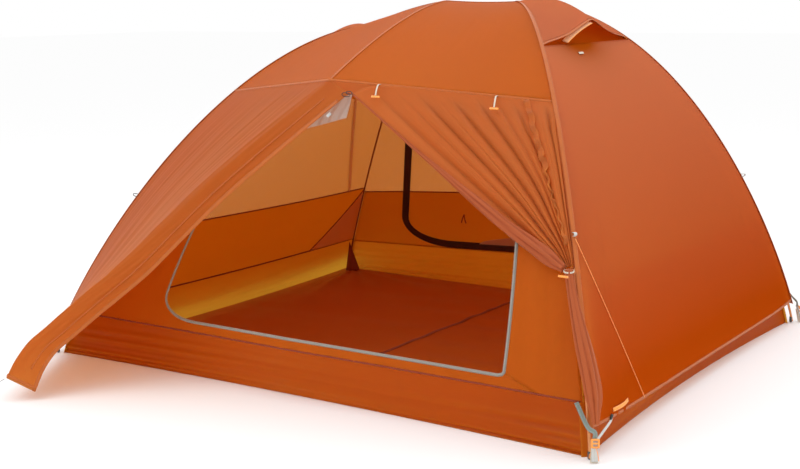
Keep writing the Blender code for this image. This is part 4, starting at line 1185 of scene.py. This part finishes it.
class TENT_OT_inner(bpy.types.Operator):
    """Hang the inner tent: end walls, walls round the doors, closed back door, tub and roof."""
    bl_idname = "tent.inner"
    bl_label = "Inner tent"

    def execute(self, context):
        for end in (-1, 1):
            self.end_wall(end)
        for side in (-1, 1):
            self.tub_wall(side)
            node = "inner_roof_" + SIDE_NAME[side]
            s, t = grid(81, 31, s_range=(0.02, 0.98), t_range=(0.0, 0.99))
            sag = -0.018 * np.abs(np.sin(2 * math.pi * s)) * np.sin(math.pi * t)
            cloth(node + "_mesh", raised(inset(roof_sheet(side, s, t), ROOF_DEPTH), sag),
                  "mesh", "inner_mesh", [node])
        self.front()
        self.back()
        return {"FINISHED"}

    def end_wall(self, end):
        """Mesh, band and tub of an end, sagging by a product of sines, with two seams."""
        name = END_NAME[end]
        tub, band = leg_at_height(end, TUB_HEIGHT), leg_at_height(end, BAND_HEIGHT)
        parts = (("inner_mesh_", 0.07, band, 61, "mesh", "inner_mesh", 0.0010, -0.006),
                 ("inner_band_", band, tub, 33, "inner", "inner_cloth", 0.0022, -0.006),
                 ("tub_wall_", tub, 0.999, 31, "tub", "tub_cloth", 0.0040, -0.010))
        for label, first, last, rows, finish, slot, depth, sag in parts:
            s, t = grid(91, rows, t_range=(first, last))
            share = (t - first) / (last - first)
            waves = streaks(share * 0.6 + 0.05 * s, s, 71 + end, (2, 4, 7), slant=0.2)
            height = depth * waves * np.sin(math.pi * s)
            height += sag * np.sin(math.pi * share) * np.sin(math.pi * s)
            points = raised(inner_end(end, s, t), height * np.sin(math.pi * share) ** 0.3)
            points[..., 2] = np.maximum(points[..., 2], 0.0012)
            cloth(label + name + "_cloth", points, finish, slot, [label + name])
        if end < 0:
            self.gusset(band, tub)
        for label, share, width in (("band", band, 0.0028), ("tub", tub, 0.0035)):
            s = np.linspace(0.004, 0.996, 80)
            path = inner_end(end, s, 0 * s + share) - vec(end * 0.002, 0.0, 0.0)
            sweep("seam_" + label + "_" + name, path, (end, 0.0, 0.35), (width, 0.0012, 10, 4),
                  "dark_seam")

    def gusset(self, band, tub):
        """Mesh triangle with its diagonal seam, and the pole pocket, at the back left."""
        u, v = grid(25, 41)
        first = 0.995 - 0.213 * v
        points = inner_end(-1, first + (0.996 - first) * u, band + (tub - band) * v)
        cloth("corner_gusset_mesh", points + vec(0.0045, -0.002, 0.0), "gusset", "inner_mesh")
        q = np.linspace(0, 1, 50)
        path = inner_end(-1, 0.995 - 0.213 * q, band + (tub - band) * q)
        sweep("corner_gusset_seam", path + vec(0.006, 0.0, 0.0), (1.0, 0.0, -0.3),
              (0.0035, 0.001, 10, 4), "dark_seam")
        path = inner_end(-1, 0 * q + 0.994, 0.30 + 0.68 * q) + vec(0.007, -0.006, 0.0)
        sweep("corner_seam_back_left", path, (1.0, -1.0, 0.0), (0.0035, 0.0012, 10, 4),
              "dark_seam")
        s, t = grid(21, 25)
        top = vec(-0.985, 0.800, 0.150)
        left, right = vec(-1.020, 0.815, 0.006), vec(-0.955, 0.840, 0.006)
        points = four_edges(lambda q: straight(top, top, q), lambda q: straight(top, right, q),
                            lambda q: straight(left, right, q),
                            lambda q: straight(top, left, q), s, t)
        points[..., 1] -= 0.012 * np.sin(math.pi * s) * t
        cloth("pole_pocket_back_left", points, "dark_seam", "tub_cloth")

    def tub_wall(self, side):
        """Long side of the tub, rippled by waves that die at its seam and floor, and its
        corner tapes."""
        name = SIDE_NAME[side]
        seam = wall_share(side, TUB_HEIGHT)
        s, t = grid(141, 41, s_range=(0.001, 0.999), t_range=(seam, 1.0))
        share = (t - seam) / (1 - seam)
        waves = streaks(share * 0.55 - 0.18 * s, s, 83, (3, 5, 8, 12), slant=0.25, bend=0.2)
        corner = np.exp(-((1 - s) / 0.10)) * np.sin(30 * (share + s * 2.0)) * 0.3
        height = (0.0115 * waves + 0.003 * corner) * np.sin(math.pi * share) ** 0.5
        height = height - 0.006 * np.sin(math.pi * share)
        points = raised(wall_sheet(side, s, t), height)
        points[..., 2] = np.maximum(points[..., 2], 0.0012)
        cloth("tub_wall_" + name + "_cloth", points, "tub", "tub_cloth", ["tub_wall_" + name])
        q = np.linspace(0.004, 0.996, 100)
        path, facing = on_wall(side, q, 0 * q + seam, 0.001)
        sweep("seam_tub_" + name, path, facing, (0.0026, 0.0012, 10, 4), "dark_seam")
        q = np.linspace(0.0, 0.985, 24)
        for end in (-1, 1):
            path = wall_sheet(side, 0 * q + (end + 1) / 2, seam + (1 - seam) * q)
            sweep("tub_corner_" + name + "_" + END_NAME[end], path, (end, side, 0.3),
                  (0.015, 0.0010, 12, 4), "tub")

    def front(self):
        """Front wall round its open door, the door's zip, and the door rolled up beside it."""
        seam = wall_share(-1, TUB_HEIGHT)
        door = dict(DOOR, bottom=min(DOOR["bottom"], seam - 0.012))

        def ripple(s, t):
            waves = streaks(s * 6.0, t, 91, (2, 3, 5), slant=0.3)
            return 0.0040 * waves * np.clip(np.minimum(s, 1 - s) / 0.04, 0, 1)

        wall_round_door("inner_wall_front_cloth", -1, door, seam, "inner", "inner_cloth",
                        ["inner_wall_front"], ripple)
        self.zip_round("door_zip_front", -1, door, "grey_zip", 0.0052, 0.0014)
        q = np.linspace(0, 1, 90)
        path = wall_sheet(-1, 0.958 + 0.003 * np.sin(9 * q), 0.03 + 0.33 * q)
        angle = np.linspace(0, 2 * math.pi, 36, endpoint=False)
        size = 0.0125 - 0.004 * np.abs(2 * q - 1) ** 3
        folds = 0.8 + 0.25 * np.abs(np.sin(2.5 * angle[None] + 3 * q[:, None])) ** 0.7
        sweep("inner_door_roll_mesh", path + vec(0.0, -0.014, 0.0), (0.0, -1.0, 0.0),
              gathered(size, folds, angle, 1.0, 0.9), "inner",
              replaced=["inner_door_front_roll"])

    def zip_round(self, name, side, door, finish, width, height):
        """Zip tape and coil along a door's outline, open along its top."""
        outline = door_outline(door, 320)
        keep = outline[:, 1] > door["top"] + 0.02
        outline = np.roll(outline, -int(np.argmax(~keep)), axis=0)
        outline = outline[outline[:, 1] > door["top"] + 0.02]
        path, facing = on_wall(side, outline[:, 0], outline[:, 1], height)
        sweep(name + "_tape", path, facing, (width, 0.0010, 10, 4), finish)
        sweep(name + "_coil", path + facing * 0.0016, facing, (0.0022, 0.0014, 10, 3), "coil")

    def back(self):
        """Back wall of mesh round its door, and the closed door as rings about its middle."""
        seam = wall_share(1, TUB_HEIGHT)
        door = dict(BACK_DOOR, bottom=min(BACK_DOOR["bottom"], seam - 0.012))

        def still(s, t):
            return 0.0015 * streaks(s, t, 95, (3, 5), slant=0.4)

        wall_round_door("inner_wall_back_mesh", 1, door, seam, "mesh", "inner_mesh",
                        ["inner_wall_back"], still)
        self.back_band(seam, wall_share(1, BAND_HEIGHT))
        self.back_details(door)
        rim = door_outline(door, 240)
        centre = (rim.min(axis=0) + rim.max(axis=0)) / 2
        share = np.linspace(0.02, 1.0, 34)[None, :, None]
        rings = centre + (np.concatenate([rim, rim[:1]]) - centre)[:, None] * share
        points, normal = on_wall(1, rings[..., 0], rings[..., 1], 0.0)
        sag = 0.004 * (1 - share[..., 0]) * streaks(rings[..., 0], rings[..., 1], 97, (2, 4))
        door_span = (door["left"], door["right"]), (door["top"], door["bottom"])
        cloth("inner_door_back_mesh", points + normal * sag[..., None], "mesh", "inner_mesh",
              ["inner_door_back"], spread=wall_sheet(1, *grid(40, 20, *door_span)))
        self.zip_round("door_zip_back", 1, door, "dark_zip", 0.017, -0.008)

    def back_details(self, door):
        """Pale stowed mesh over the zip, and the little tie on the band."""
        u, v = grid(41, 15)
        t = door["bottom"] - 0.012 - 0.075 * np.sqrt(u) * v
        cloth("stowed_mesh_back", on_wall(1, 0.34 + 0.30 * u, t, -0.010)[0], "stowed",
              "inner_mesh")
        q = np.linspace(0, 1, 16)
        spot = on_wall(1, np.array(0.30), np.array(0.555), -0.008)[0]
        for number, swing in enumerate((-0.014, 0.010)):
            path = spot + np.stack([swing * q, -0.004 * np.sin(3 * q), -0.040 * q], axis=-1)
            sweep("band_tie_%d" % (number + 1), path, (0.0, -1.0, 0.2), (0.0028, 0.0010, 10, 4),
                  "dark_seam")

    def back_band(self, seam, band):
        """Solid band of the back wall and door, below the mesh, in front of both."""
        s, t = grid(121, 41, s_range=(0.002, 0.998), t_range=(band, seam))
        points, normal = on_wall(1, s, t, -0.003)
        waves = streaks(s * 2, t, 99, (3, 6, 10), slant=0.3)
        share = (t - band) / (seam - band)
        points = points + normal * (0.002 * waves * np.sin(math.pi * share))[..., None]
        cloth("inner_band_back_cloth", points, "inner", "inner_cloth")
        q = np.linspace(0.004, 0.996, 100)
        path, facing = on_wall(1, q, 0 * q + band, -0.004)
        sweep("seam_band_back", path, facing, (0.003, 0.0010, 10, 4), "dark_seam")


class TENT_OT_floor(bpy.types.Operator):
    """Lay the floor: a sheet between its bowed edges, rucked by low waves, with its seam."""
    bl_idname = "tent.floor"
    bl_label = "Floor"

    def execute(self, context):
        s, t = grid(161, 121)
        front, back = floor_edge(-1, s), floor_edge(1, s)
        points = (front + (back - front) * t[..., None]) * vec(1.0098, 1.0172, 1.0)
        points[..., 0] -= 0.039 * (1 - (2 * t - 1) ** 2) * (2 * s - 1) ** 3
        rucks = streaks(s * 1.2 + 0.3 * t, t, 5, (3, 5, 8, 13), slant=0.3, bend=0.3)
        rucks += streaks(t * 1.1, s, 6, (4, 7, 11), slant=-0.2, bend=0.3)
        edge = np.minimum(np.minimum(s, 1 - s), np.minimum(t, 1 - t))
        away = points - vec(-1.02, 0.86, 0.0)
        angle = np.arctan2(-away[..., 1], away[..., 0])
        rays = np.sin(17 * angle + 0.8 * np.sin(5 * angle)) * np.exp(-(
            np.linalg.norm(away, axis=-1) / 0.75) ** 2)
        rise = 0.0050 * (1.1 + rucks) + 0.0060 * (1 + rays)
        points[..., 2] = 0.0014 + rise * np.clip(edge / 0.06, 0, 1)
        cloth("floor_cloth_sheet", points, "floor", "floor_cloth", ["floor_sheet"],
              vec(0, 0, -1.0))
        path = straight(vec(-0.02, -0.84, 0.0), vec(-0.007, 0.84, 0.0), np.linspace(0, 1, 80))
        path[:, 2] = np.interp(path[:, 1], points[78, :, 1], points[78, :, 2]) + 0.0016
        sweep("floor_seam", path, (0.0, 0.0, 1.0), (0.008, 0.0006, 10, 4), "dark_seam")
        return {"FINISHED"}


# ---- seams and hems of the fly -------------------------------------------------------------
def seam_tape(name, path, facing, half, bend=None):
    """Flat felled seam of the fly."""
    return sweep(name, path, facing, (half, 0.0012, 12, 3.5), "seam", bend=bend)


class TENT_OT_seams(bpy.types.Operator):
    """Sew the fly: a flat ribbon carried along every pole line, seam and hem."""
    bl_idname = "tent.seams"
    bl_label = "Seams and hems"

    def execute(self, context):
        half = settings().seam_width / 2
        for end in (-1, 1):
            for side in (-1, 1):
                path = leg_line(end, side, np.linspace(0.0, HEM_AT, 120))
                facing = path - vec(0.0, 0.0, 0.45)
                facing /= np.linalg.norm(facing, axis=-1, keepdims=True)
                seam_tape("seam_leg_" + SIDE_NAME[side] + "_" + END_NAME[end],
                          path + facing * 0.0008, facing, half)
            s = np.linspace(0.0, 1.0, 90)
            path = end_sheet(end, s, hem_share(s) - 0.005, True)
            seam_tape("hem_end_" + END_NAME[end], path + vec(end * 0.001, 0, 0),
                      (end, 0.0, 0.2), 0.0045)
        for side in (-1, 1):
            name = SIDE_NAME[side]
            s = np.concatenate([np.linspace(0, 0.5, 50), np.linspace(0.5, 1, 50)[1:]])
            seam_tape("seam_roof_" + name, seam_line(side, s) + vec(0, side * 0.0012, 0.0005),
                      (0.0, side, 0.5), 0.0038)
            path = brow_line(side, np.linspace(0.0, 1.0, 70))
            seam_tape("seam_brow_" + name, path + vec(0.0, side * 0.0004, 0.0010),
                      (0.0, side * 0.4, 1.0), half * 0.6)
        seam_tape("seam_ridge", ridge_line(np.linspace(0.0, 1.0, 80)) + vec(0, 0, 0.0010),
                  (0.0, 0.0, 1.0), half * 0.6)
        self.door_hems()
        return {"FINISHED"}

    def door_hems(self):
        """Hem and zip edge of each door half, and the stitch line of the front zip's cover."""
        for name, end, side in DOOR_HALVES:
            sheet = door_half(end, side, *grid(105, 141))
            normal = outward_normals(sheet)
            bend = hinge_bend(end, side)
            rims = (("hem_door_" + name, sheet[:, -2], normal[:, -3], 0.005),
                    ("zip_door_" + name, sheet[-2, 4:], normal[-3, 4:], 0.006))
            for label, path, facing, half in rims:
                seam_tape(label, path + facing * 0.0008, facing, half, bend)
            if side < 0:
                rows = np.arange(6, sheet.shape[1] - 6)
                path = sheet[-9, rows] + normal[-9, rows] * 0.0012
                sweep("storm_flap_stitching", path, normal[-9, rows], (0.0020, 0.0008, 8, 3),
                      "seam", bend=bend)


# ---- fittings ------------------------------------------------------------------------------
class TENT_OT_corners(bpy.types.Operator):
    """Fit the four corners: webbing, grommet tab, pole tip, ladder-lock buckle and its cord."""
    bl_idname = "tent.corners"
    bl_label = "Corners"

    def execute(self, context):
        for end in (-1, 1):
            for side in (-1, 1):
                self.corner(end, side)
        return {"FINISHED"}

    def corner(self, end, side):
        """Straps along the line from foot to hem, with the tab, grommet and pole tip at it."""
        name = SIDE_NAME[side] + "_" + END_NAME[end]
        foot, hem = leg_line(end, side, 1.0), leg_line(end, side, HEM_AT)
        low = foot + vec(end * 0.012, side * 0.012, 0.006)
        high = hem + vec(end * 0.016, side * 0.012, -0.012)
        along = unit(high - low)
        facing = vec(end, side, 0.2)
        out = unit(facing - along * np.dot(facing, along))
        q = np.linspace(0, 1, 24)
        path = straight(low, high, q) + out * (0.001 * np.sin(math.pi * q))[:, None]
        sweep("corner_webbing_" + name, path, out, (0.0095, 0.0012, 14, 5), "webbing",
              replaced=["corner_strap_" + name])
        tab = straight(low - along * 0.004, low + along * 0.05, q) - out * 0.004
        sweep("grommet_tab_" + name, tab, out, tapered(0.012 - 0.004 * q, 0.0014, 14),
              "white_web")
        turned("grommet_" + name, low + along * 0.010 - out * 0.0025, out,
               (0.0025, 0.0055, 0.0062, 0.0055, 0.0025), (-0.0002, 0.0, 0.0007, 0.0014, 0.0016),
               28, "metal")
        turned("pole_tip_" + name, (foot[0] * 0.985, foot[1] * 0.985, 0.0005), (0, 0, 1),
               (0.0030, 0.0050, 0.0056, 0.0058, 0.0050), (0.0, 0.002, 0.006, 0.020, 0.023), 20,
               "dark_metal")
        reach = leg_line(end, side, 0.815) + vec(-end * 0.030, side * 0.020, 0.0)
        path = through([high - along * 0.004, high + along * 0.018 + out * 0.003,
                        hem + vec(-end * 0.004, side * 0.016, 0.022), reach], q)
        sweep("fly_corner_webbing_" + name, path, out, (0.0068, 0.0012, 14, 5), "green_web")
        self.buckle(name, high, along, np.cross(along, out), out)

    def buckle(self, name, high, along, across, out):
        """Ladder-lock: two side rails and three bars, each a rounded profile on a short path,
        and the cord's tail."""
        body = "corner_buckle_" + name
        centre = high - along * 0.012 + out * 0.006
        q = np.linspace(-1, 1, 9)
        parts = []
        for x in (-0.0100, 0.0100):
            path = centre + across * x + along * (q * 0.0120)[:, None] \
                + out * (0.0012 * (1 - q ** 2))[:, None]
            parts.append(swept_points(path, out, rounded(0.0028, 0.0030, 12, 3)))
        for y, rise, size in ((-0.0105, 0.0, 0.0026), (0.0, 0.0020, 0.0022),
                              (0.0105, 0.0, 0.0030)):
            path = centre + along * y + out * rise + across * (q * 0.0102)[:, None]
            parts.append(swept_points(path, out, rounded(size, size, 12, 3)))
        index, quads = tube_faces(*parts[0].shape[:2])
        starts = [number * index.size for number in range(len(parts))]
        caps = [cap + start for start in starts for cap in (index[0], index[-1][::-1])]
        quads = np.concatenate([quads[:, [0, 3, 2, 1]] + start for start in starts])
        points = np.concatenate([part.reshape(-1, 3) for part in parts])
        thing = mesh_from(body + "_ladder", points, points[:, :2], quads, caps)
        dress(thing, "buckle", body, [body])
        q = np.linspace(0, 1, 26)
        start = centre - along * 0.010 + out * 0.002
        path = start + out * (0.012 * np.sin(math.pi * q * 0.5))[:, None]
        path = path + across * (0.006 * q)[:, None]
        path[:, 2] -= 0.040 * q ** 1.3
        tail = sweep("buckle_tail_" + name, path, across, (0.0011, 0.0011, 10), "guy",
                     body)


RECOATED = {
    "metal": ["zip_slider_fly"], "dark_metal": ["zip_slider_inner"], "peg": ["peg"],
    "hub": ["brow_swivel", "hub_left", "hub_right"],
    "pole": ["ridge_pole", "brow_pole", "leg_pole_front_left", "leg_pole_back_left",
             "leg_pole_front_right", "leg_pole_back_right"],
    "buckle": ["toggle_seam_left", "toggle_seam_right", "toggle_tie"],
}


class TENT_OT_fittings(bpy.types.Operator):
    """Fit loops, toggles, sliders, tabs and the zip's top: short ribbons and turned pieces."""
    bl_idname = "tent.fittings"
    bl_label = "Small fittings"

    def execute(self, context):
        for name in ("toggle_seam_left", "toggle_seam_right"):
            self.seam_toggle(name)
        self.tie()
        self.guy_loops()
        self.hem_tab()
        self.zip_top()
        self.vent_parts()
        for finish, nodes in RECOATED.items():
            for node in nodes:
                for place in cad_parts[node].material_slots:
                    place.material = looks()[finish]
        return {"FINISHED"}

    def seam_toggle(self, name):
        """Loop of tape from the roof seam down to a toggle."""
        low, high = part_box(name)
        x, y, z = [(a + b) / 2 for a, b in zip(low, high)]
        share = (x - APEX_X) / (leg_line(1, -1, SEAM_AT[1])[0] - APEX_X) - 0.028
        top = seam_line(-1, np.array([0.5 + share / 2]))[0] + vec(0.0, -0.003, 0.001)
        knots = [top, top + vec(0.006, -0.020, 0.0), (x - 0.004, y + 0.012, z + 0.022),
                 (x, y - 0.001, z + 0.004)]
        sweep(name + "_loop", through(knots, np.linspace(0, 1, 20)), (1.0, 0.0, 0.0),
              (0.0009, 0.0026, 12, 4), "white_web")

    def tie(self):
        """Ring of webbing round the gathered cloth, with its toggle hanging in front."""
        centre = leg_line(1, -1, TIE_AT) + vec(-0.014, -0.028, 0.004)
        angle = np.linspace(0.15, 2 * math.pi - 0.15, 50)
        side, front = unit((0.8, 0.6, 0.0)), unit((0.5, -0.85, -0.1))
        path = centre + np.cos(angle)[:, None] * front * 0.0155 \
            + np.sin(angle)[:, None] * side * 0.0150
        sweep("door_tie_loop", path, path - centre, (0.0025, 0.0009, 12, 4), "white_web")

    def guy_loops(self):
        """Folded webbing loops on the legs: out by one less the fourth power of q."""
        for end, side, t in ((1, -1, 0.560), (-1, -1, 0.550), (1, 1, 0.559), (-1, 1, 0.550)):
            out = unit((end * 0.75, side * 0.65, 0.25))
            q = np.linspace(-1, 1, 24)
            path = leg_line(end, side, t) + out * (0.016 * (1 - q ** 4))[:, None]
            path[:, 2] += 0.006 * q
            sweep("guy_loop_" + SIDE_NAME[side] + "_" + END_NAME[end], path,
                  np.cross(out, (0, 0, 1)), (0.0010, 0.005, 12, 4),
                  "black" if end < 0 else "webbing")

    def hem_tab(self):
        """Bright pull tab with a black toggle, on the front of the right end's hem."""
        q = np.linspace(0, 1, 24)
        path = end_sheet(1, 0.088 + 0.062 * q, 0 * q + HEM_AT - 0.018, True)
        path = path + vec(0.006, 0.0, 0.0) * (0.3 + np.sin(math.pi * q))[:, None]
        sweep("hem_pull_tab", path, (1.0, 0.0, 0.2), (0.006, 0.0011, 12, 4), "bright_web")
        base = end_sheet(1, np.array(0.075), np.array(HEM_AT - 0.006), True)
        turned("hem_toggle", base + vec(0.005, 0.0, 0.0), (0.25, -0.9, -0.3),
               (0.002, 0.0045, 0.0045, 0.0030, 0.0045, 0.0020),
               (-0.013, -0.011, -0.002, 0.0, 0.002, 0.012), 18, "black")
        path = through([base + vec(0.004, 0.004, 0.0), base + vec(0.009, -0.020, -0.010),
                        leg_line(1, -1, 0.895) + vec(0.016, -0.006, -0.004)], q)
        sweep("hem_strap", path, (1.0, -0.3, 0.2), (0.0045, 0.0010, 12, 4), "webbing")

    def zip_top(self):
        """Folded pale patch behind the zip's top, and the dark loops that hold it."""
        s, t = grid(41, 33)
        a, b = vec(0.142, -0.712, 0.985), vec(-0.104, -0.722, 0.885)
        c, d = vec(-0.098, -0.700, 0.850), vec(0.108, -0.700, 0.902)
        points = four_edges(lambda q: straight(a, b, q), lambda q: straight(b, c, q),
                            lambda q: straight(d, c, q), lambda q: straight(a, d, q), s, t)
        points[..., 1] += 0.004 * np.sin(9 * s + 4 * t) + 0.002 * np.sin(31 * s - 5 * t)
        cloth("zip_top_patch", points, "pale", "inner_mesh")
        angle = np.linspace(0, 2 * math.pi * 0.93, 36)
        for number, (dx, dz, size) in enumerate(((0.0, 0.0, 0.011), (0.012, 0.006, 0.008))):
            path = ZIP_TOP + vec(dx - 0.006, -0.008, dz - 0.004) \
                + np.stack([np.cos(angle) * size * 1.5, -0.002 * np.sin(angle),
                            np.sin(angle) * size * 0.6], axis=-1)
            sweep("zip_top_loop_%d" % (number + 1), path, (0.2, -1.0, 0.1),
                  (0.0012, 0.0012, 10), "black")

    def vent_parts(self):
        """Padded props of the two hoods, and a small white tab under the right vent."""
        for end in (-1, 1):
            name = "vent_strut_" + END_NAME[end]
            foot = end_sheet(end, np.array(0.24), np.array(0.240), True) \
                + vec(-end * 0.003, 0.0, 0.013)
            top = hood_peak(end)[1] + vec(-end * 0.011, -0.012, -0.008)
            q = np.linspace(0, 1, 40)
            path = straight(foot, top, q)
            path[:, 2] += 0.004 * np.sin(math.pi * q)
            facing = unit((0.35 * end, -0.45, 0.82))
            wide = 0.0105 + 0.011 * q ** 1.5
            sweep(name + "_cover", path, facing, tapered(wide, 0.0016, 16), "strut",
                  name, [name])
            edge = path + np.cross(unit(top - foot), facing) * wide[:, None]
            sweep(name + "_piping", edge, facing, (0.0013, 0.0013, 10), "bright_web",
                  name)
        q = np.linspace(-1, 1, 16)
        spot = end_sheet(1, np.array(0.34), np.array(0.262), True) + vec(0.003, 0.0, 0.001)
        path = spot + np.stack([0.002 * (1 - q ** 2), 0.016 * q, 0 * q], axis=-1)
        sweep("vent_tab", path, (1.0, 0.0, 0.8), (0.004, 0.0010, 12, 4), "white_web")


# ---- studio --------------------------------------------------------------------------------
# each lamp's place, what it points at, width and power
LAMPS = {"key_lamp": ((-1.5, -3.5, 4.2), (0.0, 0.0, 0.5), 3.5, 48.0),
         "top_lamp": ((0.8, 0.6, 4.6), (0.3, 0.0, 0.6), 4.0, 38.0),
         "side_lamp": ((4.6, -1.2, 2.6), (0.6, 0.0, 0.6), 2.5, 14.0)}
FLOOR_HALF = 40.0
FLOOR_Z = -0.0006


class TENT_OT_studio(bpy.types.Operator):
    """Lay a plain pale floor and light the tent with large soft lamps."""
    bl_idname = "tent.studio"
    bl_label = "Studio"

    def execute(self, context):
        scene = context.scene
        scene.view_settings.view_transform = "Standard"
        world = bpy.data.worlds.new("studio")
        world.use_nodes = True
        scene.world = world
        back = world.node_tree.nodes["Background"]
        back.inputs[0].default_value = (1.0, 1.0, 1.0, 1.0)
        back.inputs[1].default_value = 1.0
        look, tree = new_look("studio_floor")
        wire(tree, "OutputMaterial", {0: wire(
            tree, "BsdfPrincipled", {"Base Color": (0.98, 0.98, 0.98, 1.0), "Roughness": 0.9,
                                     "Specular IOR Level": 0.0})})
        points = np.array([(x * FLOOR_HALF, y * FLOOR_HALF, FLOOR_Z)
                           for x, y in ((-1, -1), (1, -1), (1, 1), (-1, 1))])
        floor = mesh_from("studio_floor", points, points[:, :2], np.array([[0, 1, 2, 3]]))
        floor.data.materials.append(look)
        for name, (place, aim, size, power) in LAMPS.items():
            self.lamp(name, place, aim, size, power)
        return {"FINISHED"}

    def lamp(self, name, place, aim, size, power):
        """A round lamp that faces the point it aims at."""
        data = bpy.data.lights.new(name, "AREA")
        data.shape = "DISK"
        data.size = size
        data.energy = power
        lamp = bpy.data.objects.new(name, data)
        bpy.context.scene.collection.objects.link(lamp)
        back = unit(vec(*place) - vec(*aim))
        right = unit(np.cross((0.0, 0.0, 1.0), back))
        lamp.matrix_world = placed(right, np.cross(back, right), back, place)


# ---- panel and registration ----------------------------------------------------------------
OPERATORS = (TENT_OT_camera, TENT_OT_cords, TENT_OT_roof, TENT_OT_ends, TENT_OT_doors,
             TENT_OT_drape, TENT_OT_inner, TENT_OT_floor, TENT_OT_seams, TENT_OT_corners,
             TENT_OT_fittings, TENT_OT_studio)


class TENT_PT_panel(bpy.types.Panel):
    """The tent's settings and the steps that build it."""
    bl_idname = "TENT_PT_panel"
    bl_label = "Dome tent"
    bl_space_type = "VIEW_3D"
    bl_region_type = "UI"
    bl_category = "Tent"

    def draw(self, context):
        for name in TentSettings.__annotations__:
            self.layout.prop(context.scene.dome_tent, name)
        for operator in OPERATORS:
            self.layout.operator(operator.bl_idname)


def register():
    bpy.utils.register_class(TentSettings)
    bpy.types.Scene.dome_tent = bpy.props.PointerProperty(type=TentSettings)
    for operator in OPERATORS:
        bpy.utils.register_class(operator)
    bpy.utils.register_class(TENT_PT_panel)


def unregister():
    bpy.utils.unregister_class(TENT_PT_panel)
    for operator in reversed(OPERATORS):
        bpy.utils.unregister_class(operator)
    del bpy.types.Scene.dome_tent
    bpy.utils.unregister_class(TentSettings)


def main():
    register()
    for operator in OPERATORS:
        family, step = operator.bl_idname.split(".")
        getattr(getattr(bpy.ops, family), step)()


if __name__ == "__main__":
    main()
